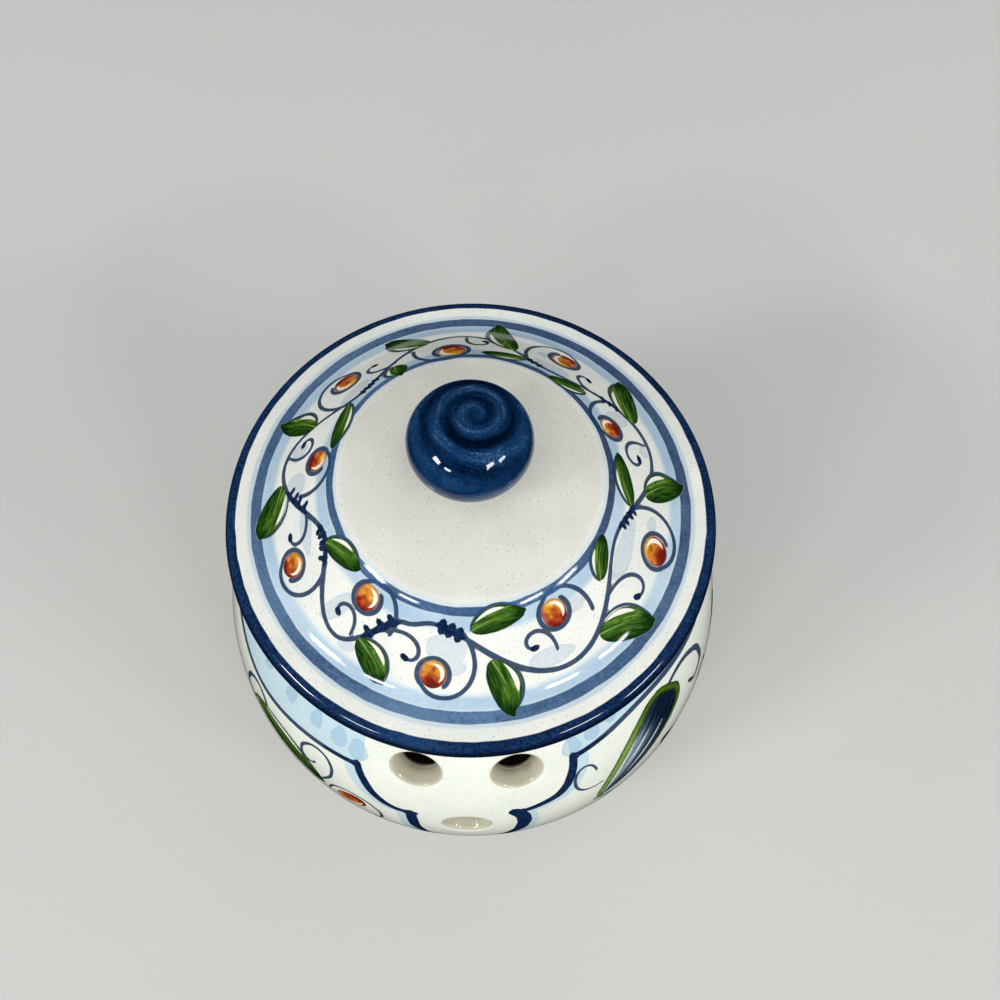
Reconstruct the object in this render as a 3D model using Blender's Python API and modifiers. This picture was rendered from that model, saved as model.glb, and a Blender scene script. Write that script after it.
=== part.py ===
"""Garlic keeper: a round-bellied earthenware pot with vent holes, a bell-shaped lid and a ball knob.

Every piece is turned about the Z axis. The pot stands on z = 0 with its vent panels facing -Y and +Y.
Lengths are metres and angles are degrees until they are used.
"""

import math

import bpy
from mathutils import Vector

# Pot
BELLY_RADIUS = 0.0743
BELLY_HEIGHT = 0.040
COLLAR_RADIUS = 0.0525
COLLAR_HEIGHT = 0.004
POT_HEIGHT = 0.1042
POT_WALL = 0.006
POT_FLOOR = 0.0065
RIM_EDGE = 0.0012
FOOT_RADIUS = 0.044
FOOT_HEIGHT = 0.004
FOOT_RING_WIDTH = 0.006
FOOT_RECESS = 0.0025
FOOT_EDGE = 0.0012

# Vent holes, a pair over a single one, on the front and on the back
VENT_RADIUS = 0.0049
VENT_MOUTH_RADIUS = 0.0065
VENT_FLARE_DEPTH = 0.0045
VENT_PAIR_SPACING = 0.0258
VENT_PAIR_DROP = 0.0203
VENT_ROW_SPACING = 0.0274
VENT_OVERRUN = 0.004

# Lid
LID_OVERHANG = 0.010
LID_THICKNESS = 0.006
LID_CROWN_RADIUS = 0.031
LID_CROWN_DROP = 0.006
LID_SHOULDER_FILLET = 0.012
LID_SLOPE_ANGLE = 40.0
LID_COVE_FILLET = 0.012
LID_FLANGE_WIDTH = 0.0065
LID_FLANGE_ANGLE = 5.5
LOCATOR_CLEARANCE = 0.0012
LOCATOR_THICKNESS = 0.004
LOCATOR_DEPTH = 0.006
LOCATOR_EDGE = 0.001
SEAT_GAP = 0.0003

# Knob
KNOB_RADIUS = 0.0143
KNOB_HALF_HEIGHT = 0.0103
KNOB_NECK_RADIUS = 0.0088
KNOB_NECK_HEIGHT = 0.0027
KNOB_FOOT_FLARE = 0.0012

# Facets
TURNED_STEPS = 64
KNOB_STEPS = 40
VENT_STEPS = 20
MERGE_DISTANCE = 0.00001
SHARP_ANGLE = 35.0

# Places that follow from the sizes above
MOUTH_RADIUS = COLLAR_RADIUS - POT_WALL
UPPER_BELLY_END = math.acos(COLLAR_RADIUS / BELLY_RADIUS)
UPPER_BELLY_RISE = (POT_HEIGHT - COLLAR_HEIGHT - BELLY_HEIGHT) / math.sin(UPPER_BELLY_END)
LOWER_BELLY_END = math.acos(FOOT_RADIUS / BELLY_RADIUS)
LOWER_BELLY_DROP = (BELLY_HEIGHT - FOOT_HEIGHT) / math.sin(LOWER_BELLY_END)
FLOOR_HEIGHT = FOOT_RECESS + POT_FLOOR
VENT_PAIR_HEIGHT = POT_HEIGHT - VENT_PAIR_DROP
VENT_LOWER_HEIGHT = VENT_PAIR_HEIGHT - VENT_ROW_SPACING
LID_RADIUS = COLLAR_RADIUS + LID_OVERHANG
LID_ROLL = LID_THICKNESS / 2
LID_CROWN_CURVE = (LID_CROWN_RADIUS**2 + LID_CROWN_DROP**2) / (2 * LID_CROWN_DROP)
SEAT_HEIGHT = POT_HEIGHT + SEAT_GAP
LID_EDGE_HEIGHT = SEAT_HEIGHT + LID_ROLL
LOCATOR_RADIUS = MOUTH_RADIUS - LOCATOR_CLEARANCE


def clear_scene():
    """Removes whatever the opened file holds."""
    for existing in list(bpy.data.objects):
        bpy.data.objects.remove(existing)


def new_collection(name):
    collection = bpy.data.collections.new(name)
    bpy.context.scene.collection.children.link(collection)
    return collection


def glaze(name, colour, roughness):
    """A fired glaze in one colour."""
    material = bpy.data.materials.new(name)
    material.use_nodes = True
    shader = material.node_tree.nodes["Principled BSDF"]
    shader.inputs["Base Color"].default_value = (*colour, 1.0)
    shader.inputs["Roughness"].default_value = roughness
    shader.inputs["Metallic"].default_value = 0.0
    shader.inputs["Coat Weight"].default_value = 0.5
    return material


def arc(centre, radii, start, end, count):
    """Points on an ellipse's arc, from angle start to angle end in radians, both ends included."""
    points = []
    for i in range(count + 1):
        angle = start + (end - start) * i / count
        points.append((centre[0] + radii[0] * math.cos(angle), centre[1] + radii[1] * math.sin(angle)))
    return points


def turned(name, profile, steps, collection, material=None):
    """An object turned about its own Z axis from (radius, height) points that run from top to bottom."""
    mesh = bpy.data.meshes.new(name)
    points = [(radius, 0.0, height) for radius, height in profile]
    mesh.from_pydata(points, [(i, i + 1) for i in range(len(points) - 1)], [])
    piece = bpy.data.objects.new(name, mesh)
    collection.objects.link(piece)
    screw = piece.modifiers.new("Turn", "SCREW")
    screw.axis = "Z"
    screw.angle = 2 * math.pi
    screw.steps = steps
    screw.render_steps = steps
    screw.use_merge_vertices = True
    screw.merge_threshold = MERGE_DISTANCE
    screw.use_smooth_shade = True
    if material:
        mesh.materials.append(material)
    return piece


def pot_outer_radius(height):
    """The belly's outer radius at a height between the foot and the collar."""
    reach = UPPER_BELLY_RISE if height >= BELLY_HEIGHT else LOWER_BELLY_DROP
    return BELLY_RADIUS * math.sqrt(1 - ((height - BELLY_HEIGHT) / reach) ** 2)


def pot_profile():
    """From the middle of the inside floor, up the inside, over the rim and down the outside."""
    inner_radius = BELLY_RADIUS - POT_WALL
    inner_rise = UPPER_BELLY_RISE - POT_WALL
    inner_drop = LOWER_BELLY_DROP - POT_WALL
    belly = (0.0, BELLY_HEIGHT)
    floor_end = math.asin((BELLY_HEIGHT - FLOOR_HEIGHT) / inner_drop)
    mouth_end = math.acos(MOUTH_RADIUS / inner_radius)
    ring_inner = FOOT_RADIUS - FOOT_RING_WIDTH
    inside = [(0.0, FLOOR_HEIGHT)]
    inside += arc(belly, (inner_radius, inner_drop), -floor_end, 0.0, 6)
    inside += arc(belly, (inner_radius, inner_rise), 0.0, mouth_end, 7)[1:]
    rim = arc((MOUTH_RADIUS + RIM_EDGE, POT_HEIGHT - RIM_EDGE), (RIM_EDGE, RIM_EDGE), math.pi, math.pi / 2, 2)
    rim += arc((COLLAR_RADIUS - RIM_EDGE, POT_HEIGHT - RIM_EDGE), (RIM_EDGE, RIM_EDGE), math.pi / 2, 0.0, 2)
    outside = arc(belly, (BELLY_RADIUS, UPPER_BELLY_RISE), UPPER_BELLY_END, 0.0, 8)
    outside += arc(belly, (BELLY_RADIUS, LOWER_BELLY_DROP), 0.0, -LOWER_BELLY_END, 7)[1:]
    foot = [
        (FOOT_RADIUS, FOOT_EDGE),
        (FOOT_RADIUS - FOOT_EDGE, 0.0),
        (ring_inner, 0.0),
        (ring_inner - FOOT_RECESS, FOOT_RECESS),
        (0.0, FOOT_RECESS),
    ]
    return inside + rim + outside + foot


def vent_cutter(name, across, height, side, collection):
    """A flared plug square to the wall, its mouth's centre on the outer surface."""
    flare = (VENT_MOUTH_RADIUS - VENT_RADIUS) / VENT_FLARE_DEPTH
    profile = [
        (0.0, VENT_OVERRUN),
        (VENT_MOUTH_RADIUS + flare * VENT_OVERRUN, VENT_OVERRUN),
        (VENT_RADIUS, -VENT_FLARE_DEPTH),
        (VENT_RADIUS, -POT_WALL - VENT_OVERRUN),
        (0.0, -POT_WALL - VENT_OVERRUN),
    ]
    cutter = turned(name, profile, VENT_STEPS, collection)
    radius = pot_outer_radius(height)
    azimuth = math.asin(across / radius)
    reach = UPPER_BELLY_RISE if height >= BELLY_HEIGHT else LOWER_BELLY_DROP
    outward = Vector((math.sin(azimuth), -math.cos(azimuth), 0.0))
    normal = outward * (radius / BELLY_RADIUS**2) + Vector((0.0, 0.0, (height - BELLY_HEIGHT) / reach**2))
    cutter.location = outward * radius + Vector((0.0, 0.0, height))
    if side == "back":
        cutter.location.xy = -cutter.location.xy
        normal.xy = -normal.xy
    cutter.rotation_mode = "QUATERNION"
    cutter.rotation_quaternion = normal.to_track_quat("Z", "Y")
    cutter.hide_render = True
    cutter.display_type = "WIRE"
    return cutter


def make_pot(parts, cutters, material):
    """The pot, pierced by three vents on its front and three on its back."""
    pot = turned("pot", pot_profile(), TURNED_STEPS, parts, material)
    for side in ("front", "back"):
        for place, across, height in (
            ("left", -VENT_PAIR_SPACING / 2, VENT_PAIR_HEIGHT),
            ("right", VENT_PAIR_SPACING / 2, VENT_PAIR_HEIGHT),
            ("lower", 0.0, VENT_LOWER_HEIGHT),
        ):
            vent_cutter(f"vent_{side}_{place}", across, height, side, cutters)
    pierce = pot.modifiers.new("Vents", "BOOLEAN")
    pierce.operation = "DIFFERENCE"
    pierce.operand_type = "COLLECTION"
    pierce.collection = cutters
    pierce.solver = "EXACT"
    return pot


def bell_curve():
    """The lid's upper side from its axis to its edge, as (radius, height, slope down) with the edge at height 0.

    It is a shallow crown, a round shoulder, a straight slope, a hollow cove and a nearly flat flange.
    """
    crown_end = math.asin(LID_CROWN_RADIUS / LID_CROWN_CURVE)
    slope = math.radians(LID_SLOPE_ANGLE)
    flange = math.radians(LID_FLANGE_ANGLE)
    cove_start = LID_RADIUS - LID_FLANGE_WIDTH - LID_COVE_FILLET * (math.sin(slope) - math.sin(flange))
    curve = [(0.0, 0.0, 0.0)]

    def bend(fillet, start, end, count):
        """Turns from slope start to slope end on a fillet, hollow where the slope eases."""
        radius, height, _ = curve[-1]
        turn = 1 if end > start else -1
        for i in range(1, count + 1):
            angle = start + (end - start) * i / count
            across = fillet * turn * (math.sin(angle) - math.sin(start))
            down = fillet * turn * (math.cos(start) - math.cos(angle))
            curve.append((radius + across, height - down, angle))

    def run(end_radius, angle):
        """Goes straight down a slope to a radius."""
        radius, height, _ = curve[-1]
        curve.append((end_radius, height - (end_radius - radius) * math.tan(angle), angle))

    bend(LID_CROWN_CURVE, 0.0, crown_end, 4)
    bend(LID_SHOULDER_FILLET, crown_end, slope, 3)
    run(cove_start, slope)
    bend(LID_COVE_FILLET, slope, flange, 4)
    run(LID_RADIUS - LID_ROLL + LID_ROLL * math.sin(flange), flange)
    base = curve[-1][1] - LID_ROLL * math.cos(flange)
    return [(radius, height - base, angle) for radius, height, angle in curve]


def up_to_radius(points, limit):
    """The points inside a radius, then the one where the line crosses it."""
    kept = [points[0]]
    for here, there in zip(points, points[1:]):
        if there[0] >= limit:
            share = (limit - here[0]) / (there[0] - here[0])
            kept.append((limit, here[1] + share * (there[1] - here[1])))
            break
        kept.append(there)
    return kept


def lid_profile():
    """From the crown down the upper side, round the edge, along the seat, round the locating ring and up inside."""
    upper = bell_curve()
    flange = math.radians(LID_FLANGE_ANGLE)
    edge = arc((LID_RADIUS - LID_ROLL, 0.0), (LID_ROLL, LID_ROLL), math.pi / 2 - flange, -math.pi / 2, 6)[1:]
    inner = [
        (radius - LID_THICKNESS * math.sin(angle), height - LID_THICKNESS * math.cos(angle))
        for radius, height, angle in upper
    ]
    ring_inner = LOCATOR_RADIUS - LOCATOR_THICKNESS
    ring_foot = -LID_ROLL - LOCATOR_DEPTH
    ring = [
        (LOCATOR_RADIUS, -LID_ROLL),
        (LOCATOR_RADIUS, ring_foot + LOCATOR_EDGE),
        (LOCATOR_RADIUS - LOCATOR_EDGE, ring_foot),
        (ring_inner + LOCATOR_EDGE, ring_foot),
        (ring_inner, ring_foot + LOCATOR_EDGE),
    ]
    hollow = up_to_radius(inner, ring_inner)
    return [(radius, height) for radius, height, _ in upper] + edge + ring + hollow[::-1]


def knob_profile():
    """From the top of the ball, under it to a short neck, and along the crown that it is luted to."""
    crown_top = bell_curve()[0][1]
    under = -math.acos(KNOB_NECK_RADIUS / KNOB_RADIUS)
    ball_drop = -KNOB_HALF_HEIGHT * math.sin(under)
    ball_height = crown_top + SEAT_GAP + KNOB_NECK_HEIGHT + ball_drop
    ball = arc((0.0, ball_height), (KNOB_RADIUS, KNOB_HALF_HEIGHT), math.pi / 2, under, 13)
    foot_radius = KNOB_NECK_RADIUS + KNOB_FOOT_FLARE
    foot = [(KNOB_NECK_RADIUS, crown_top + SEAT_GAP + KNOB_FOOT_FLARE)]
    for share in (1.0, 0.5, 0.0):
        radius = foot_radius * share
        sag = LID_CROWN_CURVE - math.sqrt(LID_CROWN_CURVE**2 - radius**2)
        foot.append((radius, crown_top + SEAT_GAP - sag))
    return [(0.0, ball[0][1])] + ball[1:] + foot


def make_lid(parts, lid_material, knob_material):
    """The lid and its knob, carried by an empty on the axis at the height of the lid's edge."""
    carrier = bpy.data.objects.new("lid_carrier", None)
    parts.objects.link(carrier)
    carrier.location = (0.0, 0.0, LID_EDGE_HEIGHT)
    lid = turned("lid", lid_profile(), TURNED_STEPS, parts, lid_material)
    knob = turned("lid_knob", knob_profile(), KNOB_STEPS, parts, knob_material)
    for piece in (lid, knob):
        piece.parent = carrier


def freeze(piece):
    """Puts a piece's modifiers into its mesh and shades it smooth between its sharp edges."""
    depsgraph = bpy.context.evaluated_depsgraph_get()
    mesh = bpy.data.meshes.new_from_object(piece.evaluated_get(depsgraph), depsgraph=depsgraph)
    mesh.name = piece.name
    mesh.shade_smooth()
    mesh.set_sharp_from_angle(angle=math.radians(SHARP_ANGLE))
    piece.modifiers.clear()
    piece.data = mesh


def main():
    clear_scene()
    parts = new_collection("garlic_keeper")
    cutters = new_collection("cutters")
    make_pot(parts, cutters, glaze("cream_glaze", (0.84, 0.83, 0.77), 0.12))
    make_lid(
        parts,
        glaze("painted_glaze", (0.78, 0.80, 0.80), 0.12),
        glaze("cobalt_glaze", (0.02, 0.07, 0.20), 0.08),
    )
    for piece in parts.objects:
        if piece.type == "MESH":
            freeze(piece)


main()
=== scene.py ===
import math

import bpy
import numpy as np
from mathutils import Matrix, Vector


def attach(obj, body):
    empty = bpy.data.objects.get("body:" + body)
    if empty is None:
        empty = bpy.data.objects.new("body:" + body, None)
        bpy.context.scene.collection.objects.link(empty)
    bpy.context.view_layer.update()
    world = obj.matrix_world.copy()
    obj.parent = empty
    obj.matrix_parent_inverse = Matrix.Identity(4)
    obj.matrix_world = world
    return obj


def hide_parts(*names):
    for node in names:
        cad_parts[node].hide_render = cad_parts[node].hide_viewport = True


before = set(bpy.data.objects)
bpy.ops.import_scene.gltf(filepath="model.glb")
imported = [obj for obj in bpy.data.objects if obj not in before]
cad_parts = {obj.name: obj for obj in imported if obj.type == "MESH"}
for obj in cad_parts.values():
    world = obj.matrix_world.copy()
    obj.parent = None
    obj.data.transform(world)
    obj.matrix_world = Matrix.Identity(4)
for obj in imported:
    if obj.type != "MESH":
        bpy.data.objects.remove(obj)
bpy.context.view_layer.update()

# Looks for a hand-painted garlic keeper. Shapes are worked out in millimetres on grids of turned rings and put
# into the meshes in metres. The painting is stored on the meshes as distances in millimetres to each kind of
# mark, below zero inside it, and the materials turn those distances into brushed edges and pigment.
# Azimuths are degrees round the Z axis, 0 at the front and rising to the right. Shares are of the lid's radius.

METRES = 0.001
# Marks are kept up to this distance
FAR = 6.0

# Pot
BELLY_RADIUS = 74.3
BELLY_HEIGHT = 40.0
COLLAR_RADIUS = 52.5
COLLAR_BASE = 100.2
POT_HEIGHT = 104.2
POT_WALL = 6.0
MOUTH_RADIUS = 46.5
RIM_EDGE = 1.2
FLOOR_HEIGHT = 9.0
FOOT_RADIUS = 44.0
FOOT_HEIGHT = 4.0
FOOT_RING_INNER = 38.0
FOOT_RECESS = 2.5
FOOT_EDGE = 1.2
BELLY_RISE = (COLLAR_BASE - BELLY_HEIGHT) / math.sin(math.acos(COLLAR_RADIUS / BELLY_RADIUS))
BELLY_DROP = (BELLY_HEIGHT - FOOT_HEIGHT) / math.sin(math.acos(FOOT_RADIUS / BELLY_RADIUS))

# Vents: (azimuth on the outer wall, height)
VENT_RADIUS = 4.9
VENT_MOUTH_RADIUS = 6.5
VENT_FLARE_DEPTH = 4.5
VENTS = ((-11.7, 83.9), (11.7, 83.9), (0.0, 56.5))

# Lid, its heights counted from its widest circle
LID_EDGE_HEIGHT = 107.5
LID_RADIUS = 62.5
LID_ROLL = 3.0
LID_THICKNESS = 6.0
CROWN_CURVE = 83.083
CROWN_END = 21.91
SHOULDER_FILLET = 12.0
SLOPE = 40.0
COVE_FILLET = 12.0
COVE_START = 49.437
FLANGE_ANGLE = 5.5
LOCATOR_RADIUS = 45.3
LOCATOR_INNER = 41.3
LOCATOR_DEPTH = 6.0
LOCATOR_EDGE = 1.0

# Knob
KNOB_RADIUS = 14.3
KNOB_HALF_HEIGHT = 10.3
KNOB_HEIGHT = 145.4
KNOB_NECK = 8.8
KNOB_FOOT = 10.0
KNOB_TWIRL = (1.2, 1.3)
KNOB_TWIRL_PITCH = 5.2
KNOB_TWIRL_START = 0.15
KNOB_GROOVE_DEPTH = 0.42
KNOB_FOOT_GLAZE = 134.9

# How deep the glaze's ripple is in the bump, in metres
GLAZE_RELIEF = 0.00013

# What a shell's points are marked as
OUTSIDE, BORE, FOOT, INSIDE = 1.0, 0.6, 0.5, 0.0

# The blues of the bands drawn on the turning wheel, a dark and a light tone of each, from 0 to 255
RING_BLUE = ((42, 78, 118), (84, 120, 156))
NAVY = ((8, 28, 60), (32, 62, 102))

# The lid's painting, the camera and the lights are turned round Z by so many degrees
LID_TURN = 1.6
# A tendril closes round a berry of size 1 at this distance
TENDRIL_RING = 4.1

BELLY_MIDDLE = np.array([0.0, 0.0, BELLY_HEIGHT])
BELLY_SIZE = np.array([BELLY_RADIUS, BELLY_RADIUS, BELLY_RISE])


def arc(centre, radii, start, end, step=1.0):
    """Points (radius, height) on an ellipse's arc from angle start to angle end in degrees."""
    angle = np.radians(np.linspace(start, end, max(2, int(abs(end - start) / step) + 1)))
    return np.stack([centre[0] + radii[0] * np.cos(angle), centre[1] + radii[1] * np.sin(angle)], 1)


def lengths(line):
    """How far along a line each of its points lies."""
    return np.concatenate([[0.0], np.cumsum(np.linalg.norm(np.diff(line, axis=0), axis=1))])


def along(line, places):
    """The points at given lengths along a line."""
    reach = lengths(line)
    return np.stack([np.interp(places, reach, line[:, axis]) for axis in range(line.shape[1])], 1)


def softened(line, width, step=0.1):
    """The line with its corners rounded: each point becomes the mean of the stretch of that width about it."""
    reach = lengths(line)[-1]
    fine = along(line, np.linspace(0.0, reach, int(reach / step)))
    half = int(width / step / 2)
    first, last = 2 * fine[0] - fine[1 : half + 1][::-1], 2 * fine[-1] - fine[-half - 1 : -1][::-1]
    padded = np.concatenate([first, fine, last])
    total = np.cumsum(np.concatenate([np.zeros((1, 2)), padded]), axis=0)
    window = 2 * half + 1
    return (total[window:] - total[:-window]) / window


def hump(run):
    """A swelling from 0 at run 0 up to 1 and back to 0 at run 1, as half a sine wave."""
    return np.maximum(np.sin(np.pi * np.clip(run, 0.0, 1.0)), 0.0)


def spot(angle, radius, height):
    """Points at an angle round Z, in radians from the front to the right, and at a radius and a height."""
    return np.stack([radius * np.sin(angle), -radius * np.cos(angle), height + 0 * angle], -1)


def turned(profile, columns):
    """Rings of points: each (radius, height) goes round Z in equal steps from the front to the right."""
    return spot(np.arange(columns) * 2 * np.pi / columns, profile[:, :1], profile[:, 1:])


class Shell:
    """The points and faces of one closed piece."""

    def __init__(self):
        self.points, self.faces, self.marks, self.count = [], {3: [], 4: []}, [], 0

    def add(self, points, mark=INSIDE):
        """Takes an array of points, which stays open to changes, and returns their numbers in the same layout."""
        numbers = self.count + np.arange(points[..., 0].size).reshape(points.shape[:-1])
        self.points.append(points.reshape(-1, 3))
        self.marks.append(np.full(numbers.size, mark))
        self.count += numbers.size
        return numbers

    def joined(self):
        """All points, and their marks."""
        return np.concatenate(self.points), np.concatenate(self.marks)

    def face(self, *corners):
        """Faces whose corners come from arrays of point numbers that all have the same layout."""
        self.faces[len(corners)].append(np.stack([c.ravel() for c in corners], 1))

    def sheet(self, rings, keep=None):
        """Faces between rings that all have the same number of points."""
        right = np.roll(rings, -1, axis=1)
        corners = [rings[:-1], rings[1:], right[1:], right[:-1]]
        self.face(*(c if keep is None else c[keep] for c in corners))

    def bridge(self, upper, lower):
        """Faces between two rings with equal counts, or with one twice as fine as the other."""
        if len(upper) == len(lower):
            self.sheet(np.stack([upper, lower]))
            return
        coarse, fine = (upper, lower) if len(lower) > len(upper) else (lower, upper)
        here, there = coarse, np.roll(coarse, -1)
        start, middle, end = fine[0::2], fine[1::2], np.roll(fine[0::2], -1)
        for corners in ((here, start, middle), (here, middle, there), (there, middle, end)):
            self.face(*(corners if coarse is upper else corners[::-1]))

    def close(self, ring, height, last):
        """A fan from a ring to a point on the axis, which comes after the ring or before it."""
        pole = np.full(len(ring), self.add(np.array([(0.0, 0.0, height)]))[0])
        right = np.roll(ring, -1)
        self.face(*((ring, pole, right) if last else (pole, ring, right)))

    def thing(self, name, material, fields=None):
        """The faces and their points as an object, with the fields that its material reads."""
        loops = [np.concatenate(group) for group in self.faces.values() if group]
        sizes = np.concatenate([np.full(len(group), group.shape[1]) for group in loops])
        used, corners = np.unique(np.concatenate([group.ravel() for group in loops]), return_inverse=True)
        mesh = bpy.data.meshes.new(name)
        mesh.vertices.add(len(used))
        mesh.vertices.foreach_set("co", (self.joined()[0][used] * METRES).astype(np.float32).ravel())
        mesh.loops.add(len(corners))
        mesh.loops.foreach_set("vertex_index", corners.astype(np.int32))
        mesh.polygons.add(len(sizes))
        mesh.polygons.foreach_set("loop_start", (np.cumsum(sizes) - sizes).astype(np.int32))
        mesh.update(calc_edges=True)
        mesh.shade_smooth()
        for title, values in (fields or {}).items():
            layer = mesh.attributes.new(title, "FLOAT", "POINT")
            layer.data.foreach_set("value", values[used].astype(np.float32))
        mesh.materials.append(material)
        thing = bpy.data.objects.new(name, mesh)
        bpy.context.scene.collection.objects.link(thing)
        return thing

    def piece(self, name, material, body, node, slot, fields=None):
        """The finished object, riding on its body in place of its CAD node."""
        thing = self.thing(name, material, fields)
        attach(thing, body)
        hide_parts(node)


def lay_zones(shell, outline, zones, pierced=None):
    """Lays rings along an outline, with faces between them except in the zone that is still to be pierced.

    A zone is (start, end, spacing, columns, mark), in lengths along the outline. Neighbouring zones share no
    ring: faces join the last ring of one to the first of the next. Returns each zone's points and their numbers.
    """
    laid = []
    for index, (start, end, spacing, columns, mark) in enumerate(zones):
        places = np.linspace(start, end, max(2, int(round((end - start) / spacing)) + 1))[:-1]
        grid = turned(along(outline, places), columns)
        numbers = shell.add(grid, mark)
        if laid:
            shell.bridge(laid[-1][1][-1], numbers[0])
        if index != pierced:
            shell.sheet(numbers)
        laid.append((grid, numbers))
    return laid


def bell():
    """The lid's upper side from the axis to the edge, as rows of radius, height and slope in radians.

    A bend of some fillet from one slope to another moves fillet * (sin to - sin from) out and
    fillet * (cos from - cos to) down, the other way round where the surface is hollow.
    """
    rows = [np.zeros((1, 3))]

    def bend(fillet, start, end):
        """An arc that joins two slopes in degrees."""
        angle = np.radians(np.linspace(start, end, 60))[1:]
        turn = 1 if end > start else -1
        radius, height, _ = rows[-1][-1]
        out = fillet * turn * (np.sin(angle) - math.sin(math.radians(start)))
        down = fillet * turn * (math.cos(math.radians(start)) - np.cos(angle))
        rows.append(np.stack([radius + out, height - down, angle], 1))

    def run(end_radius, degrees):
        """A straight slope out to a radius, which falls by the way out times the slope's tangent."""
        radius, height, _ = rows[-1][-1]
        angle = math.radians(degrees)
        across = np.linspace(0.0, end_radius - radius, 20)[1:]
        rows.append(np.stack([radius + across, height - across * math.tan(angle), angle + 0 * across], 1))

    flange = math.radians(FLANGE_ANGLE)
    bend(CROWN_CURVE, 0.0, CROWN_END)
    bend(SHOULDER_FILLET, CROWN_END, SLOPE)
    run(COVE_START, SLOPE)
    bend(COVE_FILLET, SLOPE, FLANGE_ANGLE)
    run(LID_RADIUS - LID_ROLL + LID_ROLL * math.sin(flange), FLANGE_ANGLE)
    curve = np.concatenate(rows)
    curve[:, 1] += LID_EDGE_HEIGHT - (curve[-1, 1] - LID_ROLL * math.cos(flange))
    return curve


BELL = bell()


def lid_height(radius):
    """The height of the lid's upper side at a radius."""
    return np.interp(radius, BELL[:, 0], BELL[:, 1])


def build_lid_shell():
    """The lid: the bell, its rolled edge, the flat seat, the locating ring and the hollow inside."""
    shell = Shell()
    roll = arc((LID_RADIUS - LID_ROLL, LID_EDGE_HEIGHT), (LID_ROLL, LID_ROLL), 90 - FLANGE_ANGLE, -90, 3)[1:]
    hollow = BELL[:, :2] - LID_THICKNESS * np.stack([np.sin(BELL[:, 2]), np.cos(BELL[:, 2])], 1)
    hollow = hollow[hollow[:, 0] < LOCATOR_INNER][::-1]
    seat = LID_EDGE_HEIGHT - LID_ROLL
    foot = seat - LOCATOR_DEPTH
    ring = (
        (LOCATOR_RADIUS, seat),
        (LOCATOR_RADIUS, foot + LOCATOR_EDGE),
        (LOCATOR_RADIUS - LOCATOR_EDGE, foot),
        (LOCATOR_INNER + LOCATOR_EDGE, foot),
        (LOCATOR_INNER, foot + LOCATOR_EDGE),
        (LOCATOR_INNER, hollow[0, 1]),
    )
    under = softened(np.concatenate([roll[-1:], ring, hollow]), 1.2)
    outline = np.concatenate([BELL[:, :2], roll, under])
    reach = lengths(outline)
    dome_end, vine_start, vine_end = np.interp((30.0, 31.0, 57.5), BELL[:, 0], reach[: len(BELL)])
    roll_end = reach[len(BELL) + len(roll) - 1]
    seat_end, ring_end = roll_end + 13.0, roll_end + 40.0
    zones = (
        (1.5, dome_end, 1.4, 192, OUTSIDE),
        (dome_end, vine_start, 0.5, 384, OUTSIDE),
        (vine_start, vine_end, 0.37, 768, OUTSIDE),
        (vine_end, roll_end, 0.5, 384, OUTSIDE),
        (roll_end, seat_end, 3.0, 192, INSIDE),
        (seat_end, ring_end, 0.7, 192, INSIDE),
        (ring_end, reach[-1] - 1.0, 2.2, 192, INSIDE),
    )
    laid = lay_zones(shell, outline, zones)
    shell.close(laid[0][1][0], outline[0, 1], last=False)
    shell.close(laid[-1][1][-1], outline[-1, 1], last=True)
    return shell


def pot_outlines():
    """The pot from the middle of its floor up inside and over the rim, and then down outside to the foot."""
    wall, middle = POT_WALL, (0.0, BELLY_HEIGHT)
    inner = (BELLY_RADIUS - wall, BELLY_RISE - wall, BELLY_DROP - wall)
    floor_end = -math.degrees(math.asin((BELLY_HEIGHT - FLOOR_HEIGHT) / inner[2]))
    mouth_end = math.degrees(math.acos(MOUTH_RADIUS / inner[0]))
    inside = np.concatenate(
        [
            [(0.0, FLOOR_HEIGHT)],
            arc(middle, (inner[0], inner[2]), floor_end, 0.0),
            arc(middle, (inner[0], inner[1]), 0.0, mouth_end)[1:],
            arc((MOUTH_RADIUS + RIM_EDGE, POT_HEIGHT - RIM_EDGE), (RIM_EDGE, RIM_EDGE), 180, 90, 10),
            arc((COLLAR_RADIUS - RIM_EDGE, POT_HEIGHT - RIM_EDGE), (RIM_EDGE, RIM_EDGE), 90, 0, 10),
        ]
    )
    upper_end = math.degrees(math.acos(COLLAR_RADIUS / BELLY_RADIUS))
    lower_end = -math.degrees(math.acos(FOOT_RADIUS / BELLY_RADIUS))
    outside = np.concatenate(
        [
            inside[-1:],
            arc(middle, (BELLY_RADIUS, BELLY_RISE), upper_end, 0.0),
            arc(middle, (BELLY_RADIUS, BELLY_DROP), 0.0, lower_end)[1:],
            [
                (FOOT_RADIUS, FOOT_EDGE),
                (FOOT_RADIUS - FOOT_EDGE, 0.0),
                (FOOT_RING_INNER, 0.0),
                (FOOT_RING_INNER - FOOT_RECESS, FOOT_RECESS),
                (0.0, FOOT_RECESS),
            ],
        ]
    )
    return softened(inside, 1.2), softened(outside, 1.2)


def pot_radius(height):
    """The outer belly's radius at a height, from its two half ellipses."""
    rise = np.where(height >= BELLY_HEIGHT, BELLY_RISE, BELLY_DROP)
    return BELLY_RADIUS * np.sqrt(np.maximum(0.0, 1 - ((height - BELLY_HEIGHT) / rise) ** 2))


def on_pot(azimuth, height):
    """The point of the outer belly at an azimuth in degrees and a height."""
    return spot(np.radians(azimuth), np.maximum(pot_radius(height), COLLAR_RADIUS * (height > 90)), height)


def on_lid(azimuth, share):
    """The point of the lid's upper side at an azimuth in degrees and a share of the lid's radius."""
    return spot(np.radians(azimuth), share * LID_RADIUS, lid_height(share * LID_RADIUS))


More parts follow.
